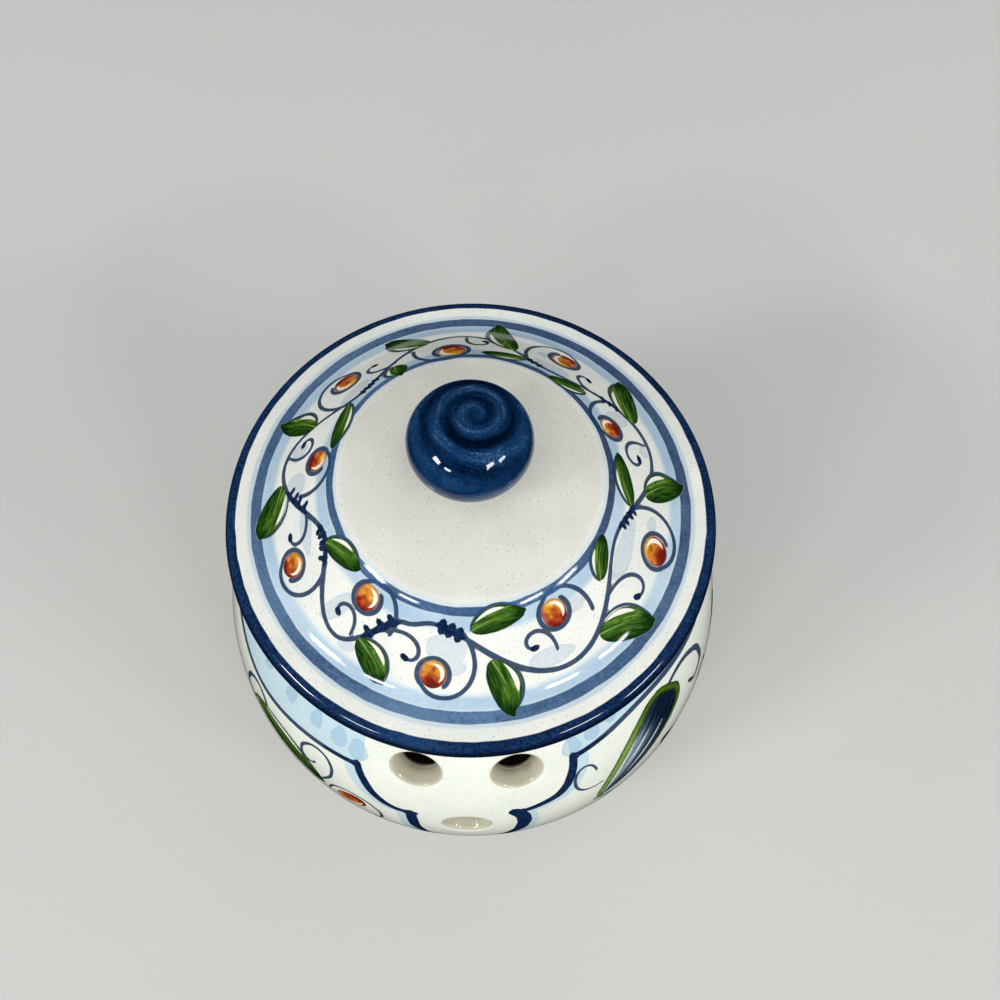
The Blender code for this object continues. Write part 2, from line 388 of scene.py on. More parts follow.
class Vent:
    """A bore square to the wall: its centre on the outer wall, its axis, and directions right and up."""

    def __init__(self, azimuth, height):
        self.centre = on_pot(azimuth, height)
        normal = (self.centre - BELLY_MIDDLE) / BELLY_SIZE**2
        self.normal = normal / np.linalg.norm(normal)
        angle = math.radians(azimuth)
        self.right = np.array([math.cos(angle), math.sin(angle), 0.0])
        self.up = np.cross(self.normal, self.right)

    def on_wall(self, right, up, depth, inset):
        """Goes right and up from the centre, then along the axis to the wall's surface, then deeper.

        The surface is the ellipsoid of the belly, drawn in by inset: a quadratic gives the way to it.
        """
        start = self.centre + right[..., None] * self.right + up[..., None] * self.up
        place, axis = (start - BELLY_MIDDLE) / (BELLY_SIZE - inset), self.normal / (BELLY_SIZE - inset)
        a, b, c = (axis**2).sum(-1), (place * axis).sum(-1), (place**2).sum(-1) - 1
        way = (-b + np.sqrt(b * b - a * c)) / a
        return start + (way - depth)[..., None] * self.normal

    def ring(self, radius, depth, inset, count):
        """A ring round the axis on the wall, in equal steps that start half a quarter below right."""
        angle = -np.pi / 4 + np.arange(count) * 2 * np.pi / count
        return self.on_wall(radius * np.cos(angle), radius * np.sin(angle), depth, inset)

    def tube(self, line, inset, count):
        """A ring at each (radius, depth) of a line."""
        return np.stack([self.ring(radius, depth, inset, count) for radius, depth in line])


def pierce(points, row, column, vent, inset, rise, first, last, radii):
    """Bends the grid of a wall so that its square rings about a vent become circles.

    Returns the hole's edge and the cells inside it. rise is 1 where the rows go up the wall and -1 where they go
    down. A grid point a steps right and v steps up is on square ring k = max(|a|, |v|). Its angle on a circle is
    an eighth of a turn times the smaller step over the larger, from the nearest half axis, and rings between
    first and last blend from circle to grid.
    """

    def at(v, a):
        """The rows and columns of the grid, v steps up and a steps to the right."""
        return row + rise * v, (column + a) % points.shape[1]

    steps = np.arange(-last, last + 1)
    a, v = np.meshgrid(steps, steps)
    rows, columns = at(v, a)
    ring = np.maximum(np.abs(a), np.abs(v))
    with np.errstate(divide="ignore", invalid="ignore"):
        flat = np.where(a > 0, 0.0, np.pi) + np.pi / 4 * v / a
        steep = np.where(v > 0, np.pi / 2, -np.pi / 2) - np.pi / 4 * a / v
    angle = np.where(np.abs(a) >= np.abs(v), flat, steep)
    angle[ring == 0] = 0.0
    share = (ring - first) / (last - first)
    radius = radii[0] + share * (radii[1] - radii[0])
    blend = np.clip(share, 0.0, 1.0)
    blend = blend * blend * (3 - 2 * blend)
    there = points[rows, columns] - vent.centre
    right = (1 - blend) * radius * np.cos(angle) + blend * (there @ vent.right)
    up = (1 - blend) * radius * np.sin(angle) + blend * (there @ vent.up)
    bend = (ring >= first) & (ring < last)
    points[rows[bend], columns[bend]] = vent.on_wall(right, up, 0 * up, inset)[bend]
    side = np.arange(-first, first)
    end = 0 * side + first
    edge = at(np.concatenate([side, end, -side, -end]), np.concatenate([end, -side, -end, side]))
    cell_v, cell_a = np.meshgrid(side, side, indexing="ij")
    return edge, at(cell_v + (rise < 0), cell_a)


def build_pot_shell():
    """The pot with its six flared vents, as one closed surface."""
    shell = Shell()
    inside, outside = pot_outlines()
    inner_reach, outer_reach = lengths(inside), lengths(outside)
    rising = inside[:, 1] > FLOOR_HEIGHT + 0.5
    inner_start, inner_end = np.interp((44.0, 96.5), inside[rising, 1], inner_reach[rising])
    falling = slice(0, int(np.argmax(outside[:, 1] < 1.0)))
    outer_start, outer_end = np.interp((-99.0, -28.0), -outside[falling, 1], outer_reach[falling])
    foot_start, foot_end = outer_reach[-1] - FOOT_RING_INNER - 10.0, outer_reach[-1] - 34.0
    zones = (
        (2.0, inner_start, 2.5, 128, INSIDE),
        (inner_start, inner_end, 1.446, 256, INSIDE),
        (inner_end, inner_reach[-1], 0.6, 256, INSIDE),
    )
    inner = lay_zones(shell, inside, zones, pierced=1)
    zones = (
        (0.6, outer_start, 0.6, 256, OUTSIDE),
        (outer_start, outer_end, 0.79, 512, OUTSIDE),
        (outer_end, foot_start, 1.3, 256, OUTSIDE),
        (foot_start, foot_end, 0.5, 256, FOOT),
        (foot_end, outer_reach[-1] - 1.0, 3.0, 128, INSIDE),
    )
    outer = lay_zones(shell, outside, zones, pierced=1)
    shell.bridge(inner[-1][1][-1], outer[0][1][0])
    shell.close(inner[0][1][0], FLOOR_HEIGHT, last=False)
    shell.close(outer[-1][1][-1], FOOT_RECESS, last=True)

    mouth_hole, inner_hole = 8.2, 6.1
    flare = ((9.4, 0.0), (VENT_MOUTH_RADIUS, 0.0), (VENT_RADIUS, VENT_FLARE_DEPTH), (VENT_RADIUS, 5.2))
    flare = softened(np.array(flare), 2.2)
    flare = flare[np.argmax(flare[:, 0] < mouth_hole) :]
    flare = along(flare, np.linspace(0.5, lengths(flare)[-1], 13))
    lip = softened(np.array([(7.0, 0.0), (VENT_RADIUS, 0.0), (VENT_RADIUS, -1.4)]), 1.2)
    lip = lip[np.argmax(lip[:, 0] < inner_hole) :][::-1]
    lip = along(lip, np.linspace(0.0, lengths(lip)[-1] - 0.5, 5))
    # Each wall: its inset, whether its rows rise (1) or fall (-1), the first and last ring to bend, and their radii
    walls = [
        (*wall, np.ones((len(wall[1]) - 1, wall[1].shape[1]), bool), *how)
        for wall, *how in (
            (inner[1], POT_WALL, 1, 5, 7, (inner_hole, 10.1)),
            (outer[1], 0.0, -1, 10, 14, (mouth_hole, 11.0)),
        )
    ]
    for azimuth, height in [(azimuth + half, height) for half in (0.0, 180.0) for azimuth, height in VENTS]:
        vent = Vent(azimuth, height)
        edges = []
        for grid, numbers, keep, inset, *how in walls:
            row = int(np.argmin(np.abs(grid[:, 0, 2] - (vent.centre - inset * vent.normal)[2])))
            column = int(round(azimuth / 360 * grid.shape[1])) % grid.shape[1]
            edge, gone = pierce(grid, row, column, vent, inset, *how)
            edges.append(numbers[edge])
            keep[gone] = False
        tube, cuff = shell.add(vent.tube(flare, 0.0, 80), BORE), shell.add(vent.tube(lip, POT_WALL, 40))
        rings = [edges[1], *tube, *cuff, edges[0]]
        for near, far in zip(rings, rings[1:]):
            shell.bridge(far, near)
    for _, numbers, keep, *_ in walls:
        shell.sheet(numbers, keep)
    return shell


def build_knob_shell():
    """The ball knob: a flattened ball on a short neck, with the potter's spiral left shallow in its top."""
    shell = Shell()
    under = -math.degrees(math.acos(KNOB_NECK / KNOB_RADIUS))
    ball = arc((0.0, KNOB_HEIGHT), (KNOB_RADIUS, KNOB_HALF_HEIGHT), 90, under, 1)
    crown = float(lid_height(KNOB_FOOT))
    outline = softened(np.concatenate([ball, [(KNOB_NECK, crown + 1.3), (KNOB_FOOT, crown - 0.1)]]), 1.0, 0.05)
    places = np.linspace(0.35, lengths(outline)[-1], 100)
    profile = along(outline, places)
    slope = np.gradient(profile, places, axis=0)
    slope /= np.linalg.norm(slope, axis=1)[:, None]
    rings, outwards = turned(profile, 192), turned(slope[:, ::-1] * (-1, 1), 192)
    x, y = rings[..., 0] - KNOB_TWIRL[0], rings[..., 1] - KNOB_TWIRL[1]
    away = np.hypot(x, y)
    turns = away / KNOB_TWIRL_PITCH - np.arctan2(x, -y) / (2 * np.pi) + KNOB_TWIRL_START
    groove = (0.5 - 0.5 * np.cos(2 * np.pi * turns)) * np.exp(-((away / 10.0) ** 2)) * np.clip(away / 1.5, 0, 1)
    numbers = shell.add(rings - KNOB_GROOVE_DEPTH * groove[..., None] * outwards)
    shell.sheet(numbers)
    shell.close(numbers[0], outline[0, 1] - 0.05, last=False)
    shell.close(numbers[-1], crown - 0.1, last=True)
    return shell


class Brush:
    """Paints marks on a surface by keeping, at each of its points, the distance to the nearest mark of a kind.

    A wash keeps nothing else. A patch also keeps how far along and across it the point lies, and a stroke its own
    half width and the distance with a sign, left or right of the line.
    """

    def __init__(self, points, mask, lift, washes, patches, strokes):
        self.lift, self.which = lift, np.flatnonzero(mask)
        self.points = points[self.which]
        values = dict.fromkeys((*washes, *patches, *strokes), FAR)
        for kind in patches:
            values.update({kind + "_along": 0.0, kind + "_across": 0.0})
        for kind in strokes:
            values.update({kind + "_side": FAR, kind + "_half": 0.0})
        self.fields = {title: np.full(len(points), value) for title, value in values.items()}

    def near(self, line, reach):
        """The numbers of the points in the box round a line, widened by a reach."""
        low, high = line.min(0) - reach, line.max(0) + reach
        return np.flatnonzero(np.all((self.points > low) & (self.points < high), axis=1))

    def keep(self, near, kind, gap, **parts):
        """Keeps a gap, with the parts that go with it, at those near points where it is the kind's least."""
        at = self.which[near]
        closer = gap < self.fields[kind][at]
        for title, value in {kind: gap, **{f"{kind}_{part}": parts[part] for part in parts}}.items():
            if title in self.fields:
                self.fields[title][at[closer]] = value[closer]

    def stroke(self, kind, line, half_width):
        """A line of points on the surface with a half width, one for the line or one for each of its points.

        The distance to each straight stretch, less the width there, is worked out for all near points at once.
        The distance with a sign is kept because it runs evenly across the line between the mesh's points, where
        the distance itself turns back.
        """
        widths = np.broadcast_to(half_width, len(line)).astype(float)
        for start in range(0, len(line) - 1, 24):
            part, size = line[start : start + 25], widths[start : start + 25]
            near = self.near(part, FAR)
            if not len(near):
                continue
            way = part[1:] - part[:-1]
            from_start = self.points[near][:, None] - part[:-1]
            share = np.clip((from_start * way).sum(-1) / np.maximum((way * way).sum(-1), 1e-9), 0, 1)
            distance = np.linalg.norm(from_start - share[..., None] * way, axis=-1)
            half = size[:-1] + share * (size[1:] - size[:-1])
            rows, pick = np.arange(len(near)), (distance - half).argmin(1)
            distance, half = distance[rows, pick], half[rows, pick]
            left = np.cross(way[pick], from_start[rows, pick]) * (self.points[near] - BELLY_MIDDLE)
            self.keep(near, kind, distance - half, side=np.sign(left.sum(-1)) * distance, half=half)

    def frame(self, centre, ahead):
        """A flat frame on the surface: a centre, a direction and the direction across it, to its left."""
        azimuth, level = centre
        here = self.lift(azimuth, level)
        right = self.lift(azimuth + 1.0, level) - here
        out = self.lift(azimuth, level + (0.02 if self.lift is on_lid else 1.0)) - here
        right /= np.linalg.norm(right)
        out -= right * (out @ right)
        out /= np.linalg.norm(out)
        cos, sin = math.cos(math.radians(ahead)), math.sin(math.radians(ahead))
        return here, cos * right + sin * out, -sin * right + cos * out

    def around(self, centre, ahead, size, reach, ends=None):
        """The points near a centre or its ends, and where they lie ahead and left of it, in units of size."""
        here, first, second = self.frame(centre, ahead)
        near = self.near(here[None] if ends is None else ends, reach)
        offset = self.points[near] - here
        return near, offset @ first / size[0], offset @ second / size[1]

    def heading(self, place, way):
        """The heading of a way in degrees, 0 to the right and 90 outwards or up."""
        _, right, out = self.frame(place, 0.0)
        return math.degrees(math.atan2(way @ out, way @ right))

    def span(self, base, tip, reach):
        """The middle, heading and length of a patch from base to tip, and where the near points lie on it.

        For each of them come its share of the way, its millimetres to the left and those beyond the two ends.
        """
        ends, middle = self.lift(*np.transpose([base, tip])), np.mean([base, tip], axis=0)
        heading, length = self.heading(middle, ends[1] - ends[0]), np.linalg.norm(ends[1] - ends[0])
        near, x, y = self.around(middle, heading, (length, 1.0), reach, ends)
        x += 0.5
        return middle, heading, length, near, x, y, (x - np.clip(x, 0.0, 1.0)) * length

    def drawn(self, centre, ahead, shape):
        """A flat drawing of (ahead, left) points in millimetres, laid on the surface about a centre.

        Each point goes out in the centre's own flat frame and is then turned into azimuth and level, so that it
        lies on the surface again.
        """
        here, first, second = self.frame(centre, ahead)
        flat = here + shape[:, :1] * first + shape[:, 1:] * second
        azimuth = np.degrees(np.arctan2(flat[:, 0], -flat[:, 1]))
        return self.lift(azimuth, np.hypot(flat[:, 0], flat[:, 1]) / LID_RADIUS if self.lift is on_lid else flat[:, 2])

    def curl(self, start, ahead, length, hand, half_width=0.47, roll=240.0):
        """A curl: its bend grows with the length run until it ends, rolled up, in a round blob."""
        run = np.linspace(0.0, 1.0, 46)
        turn = hand * math.radians(roll) * (0.28 * run + 0.72 * run**2.6)
        step = length * np.diff(run, prepend=0.0)
        shape = np.stack([np.cumsum(np.cos(turn) * step), np.cumsum(np.sin(turn) * step)], 1)
        line = self.drawn(start, ahead, shape)
        self.stroke("line", line, half_width * (0.85 + 0.3 * hump(run)))
        self.stroke("ink", line[-3:], half_width * 1.7)

    def loop(self, centre, hand, size, start, reach, fade):
        """The tendril that comes up from the vine, goes round a berry and closes in a ring about it.

        Its distance from the berry is the ring's radius plus a reach that fades with the angle turned.
        """
        angle = np.linspace(start, 400.0, 120)
        left = np.clip(1 - (angle - start) / fade, 0.0, 1.0)
        distance = size * TENDRIL_RING + reach * left**1.25
        angle = np.radians(angle)
        shape = np.stack([distance * np.cos(angle), hand * distance * np.sin(angle) * 1.06], 1)
        self.stroke("line", self.drawn(centre, 0.0, shape), 0.56 + 0.07 * (left == 0))

    def berry(self, centre, size, tilt=0.0):
        """A round berry: its own flat coordinates for shading, and a pale crescent from its top to its right."""
        near, x, y = self.around(centre, tilt, size, 7.0)
        self.keep(near, "berry", (np.hypot(x, y) - 1) * min(size), along=x, across=y)
        run = np.linspace(0.0, 1.0, 24)
        turn = np.radians(-100.0 + 148.0 * run)
        shape = np.stack([0.70 * size[0] * np.cos(turn), 0.70 * size[1] * np.sin(turn)], 1)
        self.stroke("shine", self.drawn(centre, tilt, shape), 0.17 * min(size) * hump(run) ** 0.7 - 0.03)

    def dab(self, centre, size, tilt=0.0, kind="wash"):
        """A dab of thin wash: an egg-shaped patch, size being its two half widths."""
        near, x, y = self.around(centre, tilt, size, max(size) + 4.0)
        self.keep(near, kind, (np.hypot(x, y * (1 + 0.25 * x)) - 1) * min(size))

    def leaf(self, base, tip, width, light, bow=0.06):
        """A plump leaf from base to tip along a bowed rib, its half width following the root of a half sine wave.

        light is +1 or -1, the side of the white crescent and of the thin stroke outside it. The tip ends in a
        small round nub, where the brush was set down.
        """
        middle, heading, length, near, x, y, beyond = self.span(base, tip, FAR)

        def half(place):
            """Half the width times a half sine wave from base to tip, made plump by its root."""
            return width / 2 * hump(place**0.94) ** 0.52

        def edge(place, share, outside=0.0):
            """How far to the left the leaf's light side runs, at a share of its half width and then outside it."""
            return light * (bow * length * hump(place) + share * half(place) + outside)

        inside = np.clip(x, 0.0, 1.0)
        rib = edge(inside, 0.0)
        gap = np.where(beyond == 0, (np.abs(y - rib) - half(inside)) * 0.88, np.hypot(beyond, y))
        nub = np.hypot((x - 0.975) * length, (y - light * 0.05 * width) * 1.2) - 0.10 * width - 0.1
        self.keep(near, "leaf", np.minimum(gap, nub), along=x, across=light * (y - rib) / (width / 2))
        run = np.linspace(0.0, 1.0, 24)
        place = 0.12 + 0.56 * run
        shape = np.stack([(place - 0.5) * length, edge(place, 0.72)], 1)
        self.stroke("shine", self.drawn(middle, heading, shape), width * 0.078 * hump(run**1.2) ** 0.7)
        place = np.linspace(0.0, 0.98, 26)
        shape = np.stack([(place - 0.5) * length, edge(place, 1.0, 0.3)], 1)
        self.stroke("line", self.drawn(middle, heading, shape), 0.42 * hump(place / 0.98 * 0.9 + 0.05) ** 0.5)

    def bud(self, base, tip, width):
        """A closed flower bud: a long pointed oval with two green bracts drawn along its sides."""
        middle, heading, length, near, x, y, beyond = self.span(base, tip, 14.0)

        def half(run):
            """Half the width times a plump half sine wave over the root of the run, so fullest near the base."""
            return width / 2 * hump(run**0.5) ** 0.62

        gap = np.where(beyond == 0, (np.abs(y) - half(np.clip(x, 0.0, 1.0))) * 0.9, np.hypot(beyond, y))
        self.keep(near, "bud", gap, along=x, across=y / (width / 2))

        def placed(run, share, inset):
            """Flat places along the bud at a share of its half width, drawn in from there by some millimetres."""
            return np.stack([(run - 0.5) * length, share * (half(np.maximum(run, 0.01)) - inset)], 1)

        outline = [placed(np.linspace(1.04, 0.0, 50), -1.0, 0.3), placed(np.linspace(0.0, 0.58, 30), 1.0, 0.4)]
        outline = softened(np.concatenate(outline), 4.0, 0.4)
        run = np.linspace(0.0, 1.0, len(outline))
        thick = np.interp(run, (0.0, 0.1, 0.32, 0.52, 0.68, 1.0), (0.4, 1.5, 2.0, 1.3, 1.3, 0.25))
        self.stroke("green", self.drawn(middle, heading, outline), thick)
        # The middle streak is drawn backwards, so that the offsets of neighbours agree in sign between them.
        for start, end, share, inset, thick in (
            (0.34, 0.97, -1.0, 2.3, 0.5), (0.64, 0.30, -0.26, 0.0, 0.4), (0.24, 0.74, 0.34, 0.0, 0.5),
        ):
            streak = self.drawn(middle, heading, placed(np.linspace(start, end, 30), share, inset))
            self.stroke("shine", streak, thick * hump(np.linspace(0.03, 0.97, 30)) ** 0.7)


# The vine swings between these places: (azimuth, share of the lid's radius), in turn near the rim and near the dome
VINE_TURNS = (
    (-132.5, 0.585), (-100.4, 0.765), (-68.5, 0.594), (-42.3, 0.762), (-23.0, 0.607), (-13.5, 0.585),
    (28.4, 0.772), (67.5, 0.592), (105.9, 0.747), (148.5, 0.581), (184.5, 0.745), (227.5, 0.585),
)
# Berries: azimuth, share of the lid's radius, size and how far the tendril's start reaches out past its ring
OUTER_BERRIES = (
    (-134.1, 0.7295, 1.0, 8.2), (-66.9, 0.745, 0.88, 6.9), (-11.1, 0.736, 0.92, 8.2), (71.3, 0.755, 1.06, 7.8),
    (147.2, 0.7234, 1.0, 8.2),
)
INNER_BERRIES = (
    (-172.2, 0.600, 1.1, 5.9), (-99.1, 0.607, 0.84, 5.9), (-39.3, 0.600, 0.88, 5.9), (29.9, 0.606, 0.92, 5.9),
    (112.8, 0.598, 0.86, 5.9),
)
# Curls: azimuth, share, heading in degrees (0 to the right, 90 outwards), length, hand (+1 turns left) and roll
LID_CURLS = (
    (-83.0, 0.650, -18, 14.5, 1, 205), (-28.5, 0.655, -34, 15.5, 1, 240), (49.6, 0.676, -14, 17.5, 1, 235),
    (129.0, 0.650, -30, 12.5, 1, 235), (-150.4, 0.636, -10, 12.5, 1, 215),
    (-38.3, 0.728, -86, 12.4, -1, 232), (26.5, 0.710, -84, 15.0, -1, 280), (106.5, 0.730, -70, 17.5, -1, 290),
    (-102.9, 0.755, -62, 16.0, -1, 300), (181.5, 0.725, -80, 12.5, -1, 240),
)
# Leaves: base, tip, width in millimetres and the side of the light
LID_LEAVES = (
    (-165.1, 0.712, -153.5, 0.831, 8.0, -1), (-114.4, 0.685, -113.8, 0.862, 7.2, 1),
    (-93.0, 0.747, -79.6, 0.850, 8.4, -1), (-35.0, 0.716, -24.3, 0.812, 7.2, -1),
    (6.6, 0.680, 10.0, 0.862, 7.6, -1), (40.4, 0.738, 55.0, 0.852, 8.2, -1),
    (88.0, 0.675, 94.6, 0.858, 7.6, -1), (115.9, 0.722, 131.3, 0.832, 8.6, -1),
    (164.9, 0.640, 172.4, 0.855, 7.4, -1),
    (-126.0, 0.5875, -103.5, 0.545, 5.4, -1), (-66.3, 0.592, -47.9, 0.546, 6.0, -1),
    (-0.5, 0.588, 19.9, 0.556, 6.2, -1), (49.9, 0.621, 63.4, 0.543, 5.2, -1),
    (80.5, 0.618, 100.9, 0.579, 5.8, -1), (130.5, 0.61, 144.5, 0.537, 5.2, -1),
    (157.5, 0.590, 175.5, 0.574, 4.8, -1), (-149.1, 0.614, -148.5, 0.525, 6.0, 1),
)
# Dark bars across the vine: first azimuth, how many, degrees between them, reach inwards and outwards, half width
VINE_BARS = (
    (-139.5, 4, 2.4, 0.8, 0.8, 0.50), (-88.8, 4, 2.4, 2.0, 0.0, 0.62), (-71.5, 5, 2.6, 0.2, 1.5, 0.62),
    (-33.0, 3, 3.0, 1.5, 0.4, 0.78), (-10.2, 3, 3.0, 1.0, 1.1, 0.88), (72.5, 4, 2.5, 0.2, 1.3, 0.54),
    (121.5, 3, 2.5, 0.8, 0.6, 0.50), (151.5, 3, 2.5, 0.8, 0.6, 0.50),
)
# Pale dabs: azimuth, share, half widths and tilt
LID_DABS = (
    (-74.0, 0.655, 5.6, 2.0, 14), (-7.6, 0.66, 4.6, 4.4, -20), (-5.1, 0.707, 2.7, 2.1, 0),
    (-46.5, 0.690, 2.2, 5.2, 20), (-38.0, 0.762, 2.2, 1.5, 0), (24.0, 0.725, 5.6, 2.4, 0), (39.0, 0.622, 2.4, 1.6, 0),
    (66.5, 0.640, 8.2, 2.3, -8), (78.6, 0.716, 1.9, 1.5, 0), (117.0, 0.652, 2.6, 4.4, 0),
    (104.0, 0.716, 1.8, 1.4, 0), (148.0, 0.618, 5.4, 2.0, 0), (154.0, 0.694, 1.8, 1.4, 0),
    (-104.1, 0.712, 2.6, 2.4, 0), (-91.0, 0.690, 3.6, 3.4, 0), (-132.0, 0.630, 5.0, 1.8, 0),
)


def vine_share(azimuth):
    """The vine's distance from the axis: half a cosine wave between each turn and the next."""
    places, levels = np.array(VINE_TURNS).T
    azimuth = (np.asarray(azimuth, float) - places[0]) % 360 + places[0]
    index = np.clip(np.searchsorted(places, azimuth, side="right") - 1, 0, len(places) - 2)
    share = (azimuth - places[index]) / (places[index + 1] - places[index])
    return levels[index] + (levels[index + 1] - levels[index]) * (0.5 - 0.5 * np.cos(np.pi * share))


def paint_lid(points, mask):
    """The vine scroll between the lid's two blue rings."""
    turn = math.radians(LID_TURN)
    points = points @ np.array([[math.cos(turn), -math.sin(turn), 0], [math.sin(turn), math.cos(turn), 0], [0, 0, 1]])
    brush = Brush(points, mask, on_lid, ("wash",), ("leaf", "berry"), ("line", "ink", "shine"))
    azimuth = np.linspace(-180.0, 180.0, 721)
    vine = on_lid(azimuth, vine_share(azimuth))
    brush.stroke("line", vine, 0.66 + 0.14 * np.sin(np.radians(azimuth * 7)) * np.cos(np.radians(azimuth * 3)))
    for berries, hand, start, fade in ((OUTER_BERRIES, 1, -62.0, 192.0), (INNER_BERRIES, -1, -22.0, 144.0)):
        for azimuth, share, size, reach in berries:
            brush.loop((azimuth, share), hand, size, start, reach, fade)
            brush.berry((azimuth, share), (3.4 * size, 3.9 * size))
    for azimuth, share, ahead, length, hand, roll in LID_CURLS:
        brush.curl((azimuth, share), ahead, length, hand, roll=roll)
    for azimuth, share, tip_azimuth, tip_share, width, light in LID_LEAVES:
        brush.leaf((azimuth, share), (tip_azimuth, tip_share), width, light)
    for first, count, step, inwards, outwards, half in VINE_BARS:
        places = first + step * np.arange(count)
        trunk = np.linspace(places[0] - 1.5, places[-1] + 1.5, 14)
        brush.stroke("ink", on_lid(trunk, vine_share(trunk)), (half + 0.12) * hump(np.linspace(0.08, 0.92, 14)) ** 0.4)
        for order, place in enumerate(places):
            centre, beside = (place, float(vine_share(place))), np.array([place - 0.5, place + 0.5])
            way = np.diff(on_lid(beside, vine_share(beside)), axis=0)[0]
            heading = brush.heading(centre, way) + 84 + 8 * math.sin(order * 2.4)
            # Every other bar is drawn backwards, so that the offsets of neighbours agree in sign between them.
            shape = np.array([(-inwards, 0.0), (outwards, 0.0)])[:: -1 if order % 2 else 1]
            brush.stroke("ink", brush.drawn(centre, heading, shape), half)
    for azimuth, share, wide, deep, tilt in LID_DABS:
        brush.dab((azimuth, share), (wide, deep), tilt)
    return brush.fields


# The painted panel's outline, left and right: (azimuth, height), each a shoulder and then the pointed foot
PANEL_SHOULDERS = (
    ((-25.4, 78.6), (-25.0, 76.4), (-24.1, 73.6), (-21.4, 66.9), (-18.0, 62.4), (-14.5, 60.8), (-11.4, 61.6)),
    ((25.1, 83.6), (24.8, 80.0), (24.3, 77.4), (22.7, 71.8), (20.3, 67.9), (16.6, 65.7), (12.9, 64.2), (10.0, 64.0)),
)
PANEL_FEET = (
    ((-12.3, 61.4), (-12.0, 56.5), (-11.4, 48.7), (-9.3, 40.6), (-5.2, 36.0), (0.0, 33.6)),
    ((10.6, 64.6), (12.3, 61.0), (12.7, 55.0), (11.6, 47.0), (8.8, 40.4), (4.6, 35.6), (0.0, 33.6)),
)
# The swag's height by azimuth
SWAG = (
    (-90.0, 80.0), (-78.0, 79.0), (-66.2, 76.0), (-60.0, 73.4), (-53.0, 73.0), (-46.7, 74.2), (-40.3, 75.6),
    (-33.2, 76.7), (-25.3, 77.8), (25.3, 83.0), (30.5, 83.3), (36.2, 85.0), (42.5, 86.2), (50.0, 86.0),
    (58.0, 84.6), (70.0, 82.4), (90.0, 80.0),
)
# Petals that hang from the collar: azimuth, height of the middle, half width and half height
PETALS = (
    (-84.0, 87.6, 1.6, 2.6), (-74.0, 86.4, 1.7, 2.8), (-65.0, 85.6, 1.7, 3.0), (-56.0, 85.2, 1.8, 3.2),
    (-46.5, 84.9, 1.9, 3.5), (-38.0, 84.6, 2.1, 3.9), (-31.2, 84.4, 2.3, 4.2), (-25.8, 83.6, 2.4, 4.2),
    (25.2, 87.0, 2.5, 3.4), (30.9, 88.3, 2.0, 3.0), (36.6, 89.2, 1.6, 2.4), (43.0, 89.8, 1.4, 2.0),
)
# Curls and tendrils of the bouquets: (azimuth, height) places and the half width
POT_CURLS = (
    (((-54.0, 57.0), (-52.2, 61.0), (-52.8, 67.0), (-56.6, 70.8), (-60.8, 68.4), (-62.0, 61.0), (-59.0, 56.0),
      (-57.4, 60.0)), 0.7),
    (((-34.6, 53.0), (-31.6, 61.0), (-31.2, 68.0), (-33.4, 73.0), (-37.4, 73.2), (-40.4, 68.4), (-39.8, 62.4),
      (-36.6, 61.0), (-36.0, 64.4)), 0.5),
    (((-32.6, 48.0), (-31.4, 55.0), (-27.6, 58.6), (-22.6, 57.8), (-19.4, 52.0), (-19.2, 44.6), (-21.6, 40.2),
      (-25.6, 40.0), (-29.6, 43.0)), 0.45),
    (((30.0, 72.0), (29.4, 76.0), (27.2, 77.4), (25.0, 75.2), (24.3, 70.6), (25.0, 65.6), (27.8, 62.2),
      (31.4, 62.8)), 0.42),
    (((52.6, 79.4), (57.5, 81.2), (62.6, 80.2), (67.4, 75.4), (68.0, 67.0), (63.4, 63.0), (60.8, 68.0)), 0.85),
)

# The stems of the garland low round each side, from the bud to the neighbouring leaf
GARLAND = (
    ((29.2, 49.5), (36.0, 42.0), (46.0, 37.5), (56.0, 40.0), (64.0, 48.5), (73.0, 54.5), (83.0, 55.0), (92.0, 50.0)),
    ((-88.5, 50.5), (-80.0, 44.0), (-70.0, 42.0), (-60.0, 45.0), (-50.0, 48.0), (-40.0, 46.0), (-34.0, 50.0)),
    ((34.0, 43.5), (25.0, 35.0), (15.0, 30.0), (4.0, 27.6)),
    ((-46.0, 47.5), (-36.0, 38.0), (-24.0, 31.5), (-12.0, 28.5)),
)
# Its leaves: base and tip as (azimuth, height), width and the side of the light
GARLAND_LEAVES = (
    ((45.0, 37.6), (58.0, 29.0), 7.4, -1), ((57.5, 41.5), (49.5, 53.5), 7.0, 1), ((76.0, 55.2), (84.0, 67.5), 7.4, -1),
    ((88.0, 52.5), (83.0, 39.0), 7.0, -1), ((-82.0, 45.5), (-88.5, 62.0), 7.6, 1),
    ((-72.0, 42.0), (-84.0, 31.0), 7.4, -1), ((-55.0, 46.5), (-62.0, 33.0), 7.4, 1),
    ((-38.0, 40.0), (-52.0, 34.5), 6.6, 1),
)
# Its curls: azimuth, height, heading, length and hand
GARLAND_CURLS = ((67.0, 51.5, 120, 15.0, -1), (40.0, 39.5, -70, 15.0, 1), (24.0, 34.2, 60, 12.0, -1))
# Its berries: azimuth, height, hand and the tendril's reach
GARLAND_BERRIES = ((72.5, 42.0, -1, 7.0), (-76.0, 55.0, 1, 7.4))


def rounded(places, window=5.0):
    """A line through given (azimuth, height) places, with its corners rounded."""
    return softened(np.array(places, float), window, 0.25)[::3]


def swag_height(azimuth):
    """The swag's height over the painted panel's side of the pot."""
    line = softened(np.array(SWAG), 14.0, 0.5)
    return np.interp(azimuth, line[:, 0], line[:, 1])


